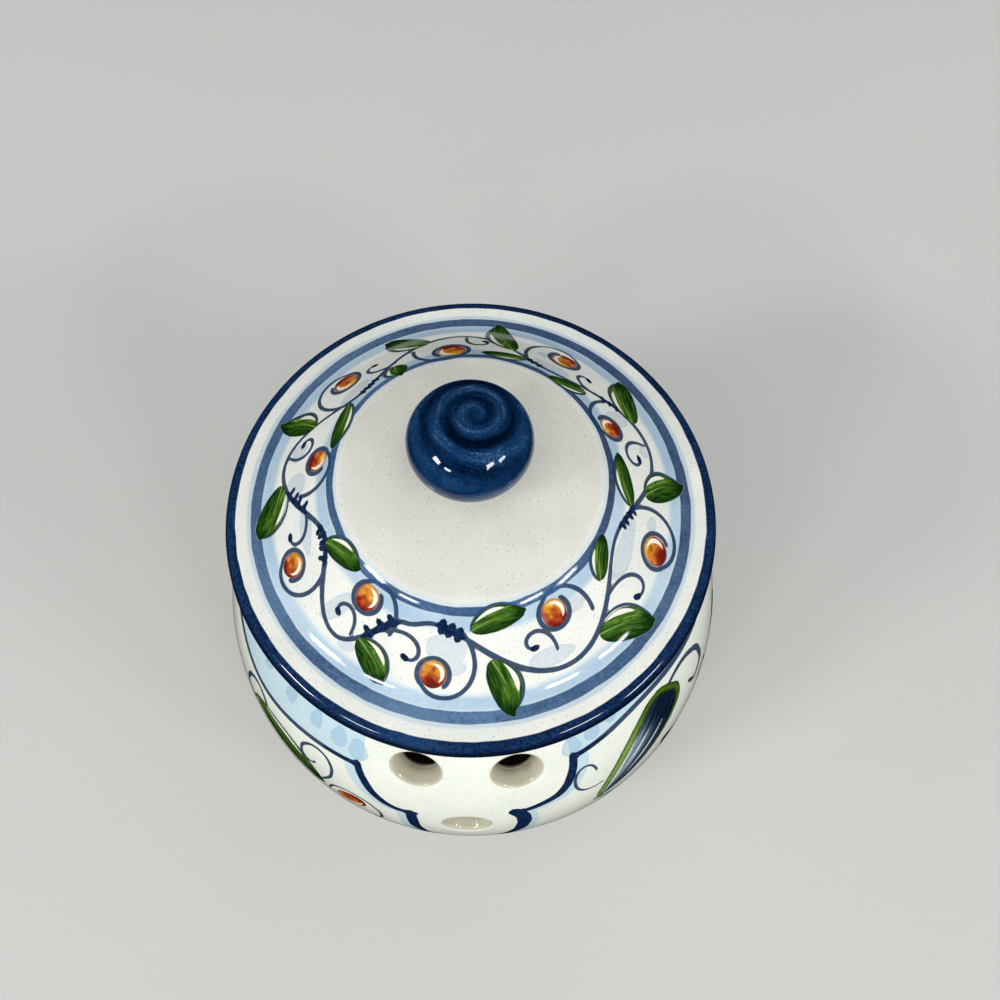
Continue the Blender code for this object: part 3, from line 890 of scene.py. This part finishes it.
def paint_pot(points, mask):
    """The pot's panels, swags and bouquets, the same on the front and on the back."""
    strokes = ("line", "ink", "shine", "green")
    brush = Brush(points, mask, on_pot, ("sky", "petal"), ("leaf", "berry", "bud"), strokes)
    for half in (0.0, 180.0):

        def laid(line):
            """The line's places on this half of the pot."""
            return on_pot(line[:, 0] + half, line[:, 1])

        for side, shoulder, foot in zip((-1, 1), PANEL_SHOULDERS, PANEL_FEET):
            shoulder, foot = rounded(shoulder, 4.0), rounded(foot, 3.0)
            brush.stroke("ink", laid(shoulder), 1.0 + 0.5 * hump(np.linspace(0.05, 0.95, len(shoulder))))
            brush.stroke("ink", laid(foot), 0.8 + (0.9 if side < 0 else 1.3) * hump(np.linspace(0.35, 1.0, len(foot))))
            brush.stroke("sky", laid(shoulder + (side * 2.3, -0.3)), 1.7)
            brush.stroke("sky", laid(foot + (side * 2.1, -0.5)), 1.5)
            # Both swags are drawn the same way round, so that their offsets agree in sign where they meet.
            run = np.sort(side * np.linspace(25.3, 90.2, 60))
            share = (np.abs(run) - 25.3) / 65
            swag, start = np.stack([run, swag_height(run)], 1), share < 0.137
            brush.stroke("line", laid(swag), 1.05 + 0.15 * share)
            brush.stroke("ink", laid(swag[start]), 1.2 - 5.8 * share[start])
        for azimuth, level, wide, tall in PETALS:
            brush.dab((azimuth + half, level), (tall, wide), 90, "petal")
        for places, width in POT_CURLS:
            line = rounded(places)
            brush.stroke("line", laid(line), width * (0.8 + 0.4 * hump(np.linspace(0.1, 0.9, len(line)))))
        brush.berry((-26.6 + half, 51.4), (4.3, 6.0), -34)
        brush.leaf((-57.5 + half, 61.5), (-34.0 + half, 51.0), 13.0, 1, 0.08)
        for base, tip, width, light in GARLAND_LEAVES:
            brush.leaf((base[0] + half, base[1]), (tip[0] + half, tip[1]), width, light)
        for places in GARLAND:
            line = rounded(places, 9.0)
            brush.stroke("line", laid(line), 0.6 + 0.12 * np.sin(np.linspace(0.0, 9.0, len(line))))
        for azimuth, level, hand, reach in GARLAND_BERRIES:
            brush.loop((azimuth + half, level), hand, 1.0, -110.0, reach, 168.0)
            brush.berry((azimuth + half, level), (3.4, 3.8))
        for azimuth, level, ahead, length, hand in GARLAND_CURLS:
            brush.curl((azimuth + half, level), ahead, length, hand, 0.5)
        brush.bud((54.0 + half, 79.0), (29.2 + half, 49.5), 18.5)
    from_panel = (np.degrees(np.arctan2(points[:, 0], -points[:, 1])) + 90) % 180 - 90
    above, aside = points[:, 2] - swag_height(from_panel), (np.abs(from_panel) - 24.6) * 1.15
    brush.fields["sky"] = np.minimum(brush.fields["sky"], np.where(mask, -np.minimum(above, aside), FAR))
    return brush.fields


def maths(operation, swapped=False):
    """A wire's method that adds a Math node. The other values come before the wire where they are swapped."""

    def method(wire, *others):
        """The operation on the wire and the others."""
        values = (*others, wire) if swapped else (wire, *others)
        return wire.shop.node("ShaderNodeMath", {"operation": operation}, dict(enumerate(values)))

    return method


class Wire:
    """One output of a material's node. Arithmetic on it adds a Math node."""

    def __init__(self, shop, socket):
        self.shop, self.socket = shop, socket

    __add__ = __radd__ = maths("ADD")
    __mul__ = __rmul__ = maths("MULTIPLY")
    __sub__, __rsub__ = maths("SUBTRACT"), maths("SUBTRACT", swapped=True)
    __truediv__, __pow__ = maths("DIVIDE"), maths("POWER")
    most, size, cosine, angle_to = maths("MAXIMUM"), maths("ABSOLUTE"), maths("COSINE"), maths("ARCTAN2")


def shade(red, green, blue):
    """A colour from 0 to 255 as a screen shows it, in the shader's linear values."""
    values = [v / 255 for v in (red, green, blue)]
    return tuple(v / 12.92 if v <= 0.04045 else ((v + 0.055) / 1.055) ** 2.4 for v in values) + (1.0,)


class Shop:
    """A material under construction. Its strokes reach past their ends by no more than reach, in millimetres.

    A colour is a wire, or its red, green and blue from 0 to 255.
    """

    def __init__(self, name, reach=0.3):
        self.material, self.reach = bpy.data.materials.new(name), reach
        self.material.use_nodes = True
        self.nodes, self.links = self.material.node_tree.nodes, self.material.node_tree.links
        self.shader = self.nodes["Principled BSDF"]
        self.place = self.node("ShaderNodeTexCoord", out="Object")

    def node(self, kind, settings=None, values=None, out=0):
        """Makes a node: its settings first, then the values or links of its sockets."""
        made = self.nodes.new(kind)
        for key, value in (settings or {}).items():
            setattr(made, key, value)
        for key, value in (values or {}).items():
            if isinstance(value, Wire):
                self.links.new(value.socket, made.inputs[key])
            else:
                made.inputs[key].default_value = value
        return Wire(self, made.outputs[out])

    def fields(self, *names):
        """The mesh's fields of these names."""
        return [self.node("ShaderNodeAttribute", {"attribute_name": name}, out="Fac") for name in names]

    def noise(self, scale, detail=2.0, vector=None, roughness=0.5):
        """Smooth noise from 0 to 1, its scale in waves per unit of the vector."""
        values = {"Vector": vector or self.place, "Scale": scale, "Detail": detail, "Roughness": roughness}
        return self.node("ShaderNodeTexNoise", None, values)

    def step(self, value, low, high, start=0.0, end=1.0):
        """A smooth step from start to end as the value goes from low to high."""
        values = {0: value, 1: low, 2: high, 3: start, 4: end}
        return self.node("ShaderNodeMapRange", {"interpolation_type": "SMOOTHSTEP"}, values)

    def fall(self, value, low, high):
        """A smooth step from 1 to 0 as the value goes from low to high."""
        return self.step(value, low, high, 1.0, 0.0)

    def cover(self, distance, soft):
        """1 inside a mark and 0 outside it, with an edge as soft as that many millimetres."""
        return self.fall(distance, -soft, soft)

    def brushed(self, kind, edge, soft):
        """1 inside the strokes of a kind. Their signed offset gives the width and their distance cuts the ends."""
        distance, side, half = self.fields(kind, kind + "_side", kind + "_half")
        return self.cover((side.size() - half).most(distance - self.reach) + edge, soft)

    def mix(self, factor, first, second):
        """The first colour where the factor is 0 and the second where it is 1."""
        first, second = (colour if isinstance(colour, Wire) else shade(*colour) for colour in (first, second))
        return self.node("ShaderNodeMix", {"data_type": "RGBA"}, {0: factor, 6: first, 7: second}, out=2)

    def fade(self, value, low, high, first, second):
        """The first colour where the value is low, going over into the second where it is high."""
        return self.mix(self.step(value, low, high), first, second)

    def ramp(self, value, *stops):
        """A colour that runs through stops of (value, red, green, blue)."""
        made = self.node("ShaderNodeValToRGB", None, {0: value})
        ramp = made.socket.node.color_ramp
        while len(ramp.elements) < len(stops):
            ramp.elements.new(0.5)
        for element, (position, *colour) in zip(ramp.elements, stops):
            element.position, element.color = position, shade(*colour)
        return made

    def combine(self, x, y, z):
        """A vector of three values."""
        return self.node("ShaderNodeCombineXYZ", None, {0: x, 1: y, 2: z})

    def separate(self, vector):
        """The three values of a vector."""
        made = self.node("ShaderNodeSeparateXYZ", None, {0: vector}).socket.node
        return [Wire(self, made.outputs[axis]) for axis in range(3)]

    def finish(self, colour, roughness, height, bump_distance, **constants):
        """Joins the looks to the shader. Constants go on the shader's own sockets."""
        bump = self.node("ShaderNodeBump", None, {"Height": height, "Distance": bump_distance, "Strength": 1.0})
        for name, wire in (("Base Color", colour), ("Roughness", roughness), ("Normal", bump)):
            self.links.new(wire.socket, self.shader.inputs[name])
        for name, value in constants.items():
            self.shader.inputs[name.replace("_", " ")].default_value = value
        return self.material


def polar(shop):
    """Object coordinates in millimetres as radius and height, and three grains of the paint.

    They are streaks that run round Z as a brush leaves them on the turning wheel, fine mottling, and both mixed.
    """
    x, y, z = shop.separate(shop.place)
    radius = (x * x + y * y) ** 0.5
    streaks = shop.combine(x / radius * 34, y / radius * 34, (radius + z * 0.8) * 2200)
    brushed, mottled = shop.noise(0.055, 3, streaks, 0.65), shop.noise(1500, 2, roughness=0.7)
    return radius * 1000, z * 1000, brushed, mottled, brushed * 0.7 + mottled * 0.3


def glossy(shop, speck, mottled):
    """The glaze's roughness, and its slight ripple with a dip at each speck."""
    return 0.09 + (mottled - 0.5) * 0.06, shop.noise(110, 2) * 0.5 + shop.noise(900, 2) * 0.02 - speck * 0.015


def cream(shop, warm, cool):
    """Tin glaze: off-white, faintly cloudy and grainy, with fine grey-brown specks."""
    body = shop.fade(shop.noise(90, 3), 0.3, 0.7, warm, cool)
    body = shop.mix(shop.step(shop.noise(2600, 2, roughness=0.7), 0.50, 0.72) * 0.30, body, (170, 160, 142))
    cells = shop.node("ShaderNodeTexVoronoi", None, {"Vector": shop.place, "Scale": 880.0}, out="Distance")
    chance = shop.separate(Wire(shop, cells.socket.node.outputs["Color"]))[0]
    speck = shop.fall(cells, 0.10, 0.24) * shop.step(chance, 0.35, 0.8)
    return shop.mix(speck * 0.38, body, (122, 108, 90)), speck


def paint_marks(shop, colour, washes):
    """Washes, lines, leaves, berries and lights over a glaze, in the order in which they are brushed on."""
    edge = (shop.noise(420, 2) - 0.5) * 0.45
    broad = (shop.noise(150, 1) - 0.5) * 1.2
    pigment = shop.noise(900, 3, roughness=0.65)
    uneven = pigment - 0.5
    for kind, tint, strength in washes:
        distance = shop.fields(kind)[0] + edge * 1.3 + broad
        rim = shop.fall(distance.size(), 0.0, 0.4) * 0.28
        colour = shop.mix(shop.cover(distance, 0.22) * (strength + uneven * 0.5 + rim), colour, tint)
    thin = shop.fade(pigment, 0.35, 0.7, (16, 38, 66), (56, 84, 116))
    colour = shop.mix(shop.brushed("line", edge * 0.35, 0.12) * (0.97 + uneven * 0.4), colour, thin)
    thick = shop.fade(pigment, 0.32, 0.72, (8, 24, 54), (28, 50, 88))
    colour = shop.mix(shop.brushed("ink", edge * 0.5, 0.12), colour, thick)

    leaf, run, across = shop.fields("leaf", "leaf_along", "leaf_across")
    seed = shop.noise(60, 0) * 9
    tone = shop.noise(1.0, 4, shop.combine(run * 1.8, across * 4.4, seed), 0.65)
    tone = tone + shop.step(across, -0.9, 0.8) * 0.2 - shop.step(run, 0.74, 1.0) * 0.2 - 0.08
    green = shop.ramp(tone, (0.34, 16, 42, 12), (0.47, 36, 72, 18), (0.60, 60, 100, 30), (0.74, 122, 150, 60))
    rib = shop.fall((across - 0.05 - (run - 0.5) * 0.2).size(), 0.02, 0.09)
    green = shop.mix(rib * shop.step(run, 0.2, 0.75, 0.55, 0.0), green, (156, 178, 92))
    green = shop.mix(shop.step(leaf, -0.8, -0.1) * 0.72, green, (18, 44, 18))
    colour = shop.mix(shop.cover(leaf + edge * 0.5, 0.12), colour, green)

    berry, right, out = shop.fields("berry", "berry_along", "berry_across")
    facets = shop.noise(1.0, 1, shop.combine(right * 1.3, out * 1.3, seed))
    tone = out * 0.46 + (facets - 0.5) * 1.3 + uneven * 0.3 + 0.5
    ripe = ((0.46, 196, 122, 38), (0.53, 170, 84, 34), (0.70, 158, 52, 26), (0.84, 110, 30, 22))
    fruit = shop.ramp(tone, (0.20, 236, 178, 84), (0.28, 210, 144, 48), *ripe)
    fruit = shop.mix(shop.step(right, -0.6, -0.95) * 0.5, fruit, (186, 124, 132))
    fruit = shop.mix(shop.step(berry, -0.75, -0.1) * 0.55, fruit, (88, 34, 34))
    colour = shop.mix(shop.cover(berry + edge * 0.6, 0.15), colour, fruit)
    return shop.mix(shop.brushed("shine", edge * 0.4, 0.14) * 0.94, colour, (240, 240, 226)), pigment


def ring_band(shop, place, start, end, soft):
    """1 between two radii or heights, its edges as soft as a brush leaves them on the turning wheel."""
    return shop.step(place, start - soft, start + soft) * shop.fall(place, end - soft, end + soft)


def lid_material():
    """Cream glaze with two blue rings and their washes, a dark rim and the painted vine, with painted shade on the
    dome and on the rim's lower half.
    """
    shop = Shop("painted_lid_glaze", 0.18)
    radius, height, brushed, mottled, grain = polar(shop)
    upper, leaf = shop.fields("upper", "leaf")
    # The dome gets a darker cream than the slope and flange: painted shade.
    dome = shop.fall(radius, 30.0, 33.0) * upper
    warm, cool = shop.mix(dome, (235, 236, 228), (222, 221, 211)), shop.mix(dome, (226, 229, 222), (214, 214, 205))
    colour, speck = cream(shop, warm, cool)
    slow, small = (shop.noise(70, 2) - 0.5) * 1.1, (shop.noise(160, 1) - 0.5) * 0.5
    wash = shop.fade(brushed + (mottled - 0.5) * 0.5, 0.3, 0.75, (158, 186, 208), (186, 207, 222))
    for start, end, soft, amount in (
        (0.794, 0.848, 0.9, 0.92), (0.885, 0.905, 0.35, 0.6), (0.549, 0.599, 0.8, 0.92), (0.510, 0.526, 0.5, 0.4),
    ):
        band = ring_band(shop, radius + slow, start * LID_RADIUS, end * LID_RADIUS, soft)
        colour = shop.mix(band * amount * upper, colour, wash)
    colour, pigment = paint_marks(shop, colour, (("wash", (172, 188, 204), 0.5),))

    x, y, _ = shop.separate(shop.place)
    # The blue rings darken towards the back and right.
    back_right_darkening = shop.step(x * 1.1 + y * 0.8, -0.005, 0.04)
    depth = shop.step(shop.noise(16, 1), 0.42, 0.62) * 0.25
    over = 1 - shop.cover(leaf, 0.12).most(shop.brushed("shine", 0.0, 0.12))
    for start, end, blues, strength in (
        (0.845, 0.889, RING_BLUE, 0.5), (0.523, 0.552, ((32, 72, 116), (70, 108, 150)), 0.75),
    ):
        blue = shop.mix(depth + back_right_darkening * strength, shop.fade(grain, 0.38, 0.62, *blues), (28, 54, 92))
        band = ring_band(shop, radius + small, start * LID_RADIUS, end * LID_RADIUS, 0.14)
        colour = shop.mix(band * upper * (0.96 + (pigment - 0.5) * 0.16) * over, colour, blue)
    navy = shop.fade(mottled * 0.6 + brushed * 0.4, 0.4, 0.66, *NAVY)
    # The rim's lower half is painted nearly black: partly ink pooled there, partly painted shade and painted dark
    # reflection.
    pooled_ink_and_painted_shade = shop.step(height, LID_EDGE_HEIGHT + 0.44 * LID_ROLL, LID_EDGE_HEIGHT + 0.82 * LID_ROLL, 0.9, 0.0)
    rim = shop.step(radius + small, 0.949 * LID_RADIUS, 0.953 * LID_RADIUS) * upper
    colour = shop.mix(rim, colour, shop.mix(pooled_ink_and_painted_shade, navy, (5, 14, 32)))
    return shop.finish(colour, *glossy(shop, speck, mottled), GLAZE_RELIEF, IOR=1.5)


def pot_material():
    """Bright tin glaze with painted panels, swags, buds and a bare clay foot ring, a khaki tint in the vents that
    darkens into painted shade deeper in, and painted shade over the whole inside.
    """
    shop = Shop("painted_pot_glaze", 0.2)
    _, height, _, mottled, grain = polar(shop)
    upper, bore = shop.fields("upper", "bore")
    colour, speck = cream(shop, (236, 239, 227), (230, 234, 223))
    colour, pigment = paint_marks(shop, colour, (("sky", (182, 210, 222), 0.8), ("petal", (132, 172, 206), 0.46)))

    bud, run, across = shop.fields("bud", "bud_along", "bud_across")
    strands = shop.noise(1.0, 4, shop.combine(run * 1.1, across * 4.2, 3.0), 0.7)
    pale = shop.step((across + 0.42).size(), 0.1, 0.6, 0.24, 0.0) * shop.step(run, 0.14, 0.4)
    tone = strands + shop.step(run, 0.1, 0.5, -0.16, 0.0) + pale
    body = shop.ramp(tone, (0.34, 12, 24, 44), (0.49, 34, 52, 72), (0.62, 78, 98, 114), (0.78, 150, 166, 176))
    colour = shop.mix(shop.cover(bud, 0.2), colour, body)
    edge = (shop.noise(420, 2) - 0.5) * 0.5
    side, half = shop.fields("green_side", "green_half")
    lime = shop.fade(
        (side / half.most(0.2) + (pigment - 0.5) * 1.4).size(), 0.3, 0.8,
        shop.fade(run, 0.1, 0.42, (72, 100, 30), (126, 154, 78)),
        shop.fade(run, 0.1, 0.42, (34, 60, 20), (66, 96, 38)),
    )
    colour = shop.mix(shop.brushed("green", edge, 0.16), colour, lime)
    streak = shop.brushed("shine", edge * 0.3, 0.12) * shop.cover(bud, 0.2)
    colour = shop.mix(streak * 0.92, colour, (226, 234, 234))

    small = (shop.noise(160, 1) - 0.5) * 0.6
    level = height + small
    blue, navy = shop.fade(grain, 0.38, 0.62, *RING_BLUE), shop.fade(mottled, 0.4, 0.66, *NAVY)
    colour = shop.mix(ring_band(shop, level, 13.8, 16.8, 0.2) * upper, colour, blue)
    colour = shop.mix(shop.fall(level, 6.2, 6.6) * upper, colour, navy)
    # A khaki tint at each vent's mouth that darkens deeper in, and the whole inside at the darkest: painted shade in
    # the bores and inside the pot.
    bore_tint_and_painted_shade = shop.step(bore, 0.0, 0.05) * (0.82 + (shop.noise(260, 3) - 0.5) * 0.5)
    colour = shop.mix(bore_tint_and_painted_shade, colour, shop.fade(bore, 0.3, 1.0, (180, 173, 147), (128, 119, 94)))
    bare = shop.fall(height + small * 0.4, 0.5, 0.9)
    colour = shop.mix(bare, colour, shop.fade(shop.noise(700, 3), 0.35, 0.7, (196, 158, 122), (172, 128, 94)))
    rough, ripple = glossy(shop, speck, mottled)
    relief = ripple + bare * shop.noise(2500, 2) * 0.3
    return shop.finish(colour, rough + bare * 0.6, relief, GLAZE_RELIEF, IOR=1.5)


def knob_material():
    """Deep cobalt glaze brushed on in a spiral while the knob turned, with painted shade on its lower half and a
    painted shadow in the front of the spiral's groove.
    """
    shop = Shop("cobalt_knob_glaze")
    x, y, z = shop.separate(shop.place)
    x, y, height = x - KNOB_TWIRL[0] * METRES, y - KNOB_TWIRL[1] * METRES, z * 1000
    radius = (x * x + y * y) ** 0.5 * 1000
    turns = radius / KNOB_TWIRL_PITCH - x.angle_to(y * -1.0) / (2 * math.pi) + KNOB_TWIRL_START
    groove = (turns * (2 * math.pi)).cosine() * shop.step(radius, 0.3, 1.6)
    # A painted shadow in the spiral's groove, on its front side.
    groove_painted_shadow = shop.fall((radius - 6.9).size(), 0.3, 1.9) * shop.step(y * -1000 / radius, -0.3, 0.9)
    lines = shop.noise(1.0, 5, shop.combine(x * 110, y * 110, radius * 1.5 + z * 1100), 0.72)
    fine = shop.noise(2400, 2, roughness=0.75)
    # The lower half is painted darker: painted shade under the ball.
    low = shop.step(height, KNOB_HEIGHT - 7.0, KNOB_HEIGHT + 1.0, 0.12, 0.0)
    high = shop.step(height, KNOB_HEIGHT + 3.0, KNOB_HEIGHT + 8.0)
    tone = 0.44 + groove * (0.08 + high * 0.08) - groove_painted_shadow * 0.2 + (lines - 0.5) * 0.85 + (fine - 0.5) * 0.6 - low
    colour = shop.ramp(tone, (0.18, 2, 12, 30), (0.40, 10, 38, 72), (0.60, 24, 60, 98), (0.82, 92, 124, 158))
    foot = shop.fall(height + (shop.noise(300, 2) - 0.5) * 1.2, KNOB_FOOT_GLAZE, KNOB_FOOT_GLAZE + 0.4)
    colour = shop.mix(foot, colour, (216, 213, 204))
    relief = lines * 0.06 + shop.noise(160, 2) * 0.15
    return shop.finish(colour, 0.035 + (fine - 0.5) * 0.02, relief, 0.00012, IOR=1.43)


def stage_material():
    """A pale matt floor with the faintest grain, and a painted glow of its own, an emission, where it curls up into
    the backdrop.
    """
    shop = Shop("pale_floor")
    x, y, _ = shop.separate(shop.place)
    # A painted glow: the floor's own emission brightens it far out, where it rises into the backdrop.
    backdrop_painted_glow = shop.fade((x * x + y * y) ** 0.5, 2.0, 3.6, (0, 0, 0), (146, 148, 150))
    shop.links.new(backdrop_painted_glow.socket, shop.shader.inputs["Emission Color"])
    grain = shop.noise(9, 3)
    colour = shop.mix(grain * 0.5, (204, 203, 200), (196, 195, 191))
    return shop.finish(colour, 0.62 + grain * 0.06, shop.noise(300, 2), 0.0001, Emission_Strength=1.0)


def build_floor():
    """A wide round floor that curls up into a backdrop far from the keeper."""
    run = np.linspace(0.0, 1.0, 60)
    profile = np.stack([40.0 + 5200.0 * run**2, 2600.0 * np.clip((run - 0.72) / 0.28, 0, 1) ** 2], 1)
    shell = Shell()
    numbers = shell.add(turned(profile, 96))
    shell.sheet(numbers)
    shell.close(numbers[0], 0.0, last=False)
    floor = shell.thing("floor", stage_material())
    floor.visible_glossy = False


def light(name, azimuth, elevation, distance, size, power, mirrored):
    """A rectangular soft light that faces the keeper from a direction in degrees, and is mirrored in it or not."""
    around, above = math.radians(azimuth + LID_TURN), math.radians(elevation)
    lamp = bpy.data.lights.new(name, "AREA")
    lamp.shape, lamp.energy = "RECTANGLE", power
    lamp.size, lamp.size_y = size
    lamp.color = (1.0, 1.0, 1.0) if mirrored else (0.99, 1.0, 1.0)
    thing = bpy.data.objects.new(name, lamp)
    direction = Vector(spot(around, math.cos(above), math.sin(above)))
    thing.location = direction * distance + Vector((0.0, 0.0, 0.09))
    thing.rotation_mode = "QUATERNION"
    thing.rotation_quaternion = direction.to_track_quat("Z", "Y")
    thing.visible_glossy = mirrored
    bpy.context.scene.collection.objects.link(thing)


def build_lights():
    """A wide soft top light and fills all round, four windows in front for the glints, and a pale dim room."""
    for name, azimuth, elevation, distance, size, power, mirrored in (
        ("top_light", -20, 62, 2.4, (2.6, 2.2), 13.5, False),
        ("back_fill", 155, 50, 2.4, (2.4, 2.0), 10, False),
        ("left_fill", -80, 12, 2.4, (1.8, 1.4), 8.5, False),
        ("right_fill", 80, 18, 2.4, (1.8, 1.4), 10, False),
        ("front_fill", -8, 12, 2.4, (2.0, 1.2), 8.5, False),
        ("left_window_high", -62, 34, 2.0, (0.42, 0.26), 10, True),
        ("left_window_low", -38, 33, 2.0, (0.34, 0.17), 5, True),
        ("right_window_low", 36, 34, 2.0, (0.40, 0.19), 6, True),
        ("right_window_high", 59, 29, 2.0, (0.42, 0.24), 7, True),
    ):
        light(name, azimuth, elevation, distance, size, power, mirrored)
    world = bpy.data.worlds.new("pale_room")
    world.use_nodes = True
    background = world.node_tree.nodes["Background"]
    background.inputs["Color"].default_value = (0.94, 0.96, 1.0, 1.0)
    background.inputs["Strength"].default_value = 0.29
    bpy.context.scene.world = world
    world.cycles_visibility.glossy = False


def build_camera():
    """The photograph's camera: high in front of the keeper, a little to the right, at a wide normal lens."""
    right = (0.99976242, 0.01535844, 0.01538)
    up = (-0.02026489, 0.91487286, 0.40324)
    forward = (0.00787309, 0.40345616, -0.91496000)
    camera = bpy.data.cameras.new("camera")
    camera.sensor_width, camera.lens = 36.0, 34.2
    camera.clip_start = 0.01
    thing = bpy.data.objects.new("camera", camera)
    turn = Matrix([[right[i], up[i], -forward[i]] for i in range(3)]).to_4x4()
    turn.translation = (0.00521624, -0.0963151, 0.3315375)
    thing.matrix_world = turn
    bpy.context.scene.collection.objects.link(thing)
    bpy.context.scene.camera = thing


def main():
    """Builds and paints the three pieces and sets the stage about them."""
    lid = build_lid_shell()
    points, mark = lid.joined()
    vine_band = (mark > 0.5) & (points[:, 2] > 108) & (np.hypot(points[:, 0], points[:, 1]) > 29)
    fields = dict(paint_lid(points, vine_band), upper=mark)
    lid.piece("lid_bell", lid_material(), "lid", "lid", "lid_glaze", fields)

    pot = build_pot_shell()
    points, mark = pot.joined()
    fields = paint_pot(points, (mark == OUTSIDE) & (points[:, 2] > 20) & (points[:, 2] < 101))
    fields["upper"] = ((mark == OUTSIDE) | (mark == FOOT)) * 1.0
    # How deep a point lies in a vent, and 1 all over the inside: it drives the vents' tint and the painted shade
    # there.
    depth = np.clip((pot_radius(points[:, 2]) - np.hypot(points[:, 0], points[:, 1])) / POT_WALL, 0.0, 1.0)
    fields["bore"] = np.where(mark == BORE, depth, (mark == INSIDE) * 1.0)
    pot.piece("pot_body", pot_material(), "pot", "pot", "pot_glaze", fields)

    build_knob_shell().piece("knob_ball", knob_material(), "lid", "lid_knob", "knob_glaze")
    build_floor()
    build_lights()
    build_camera()
    bpy.context.scene.view_settings.view_transform = "Standard"


main()
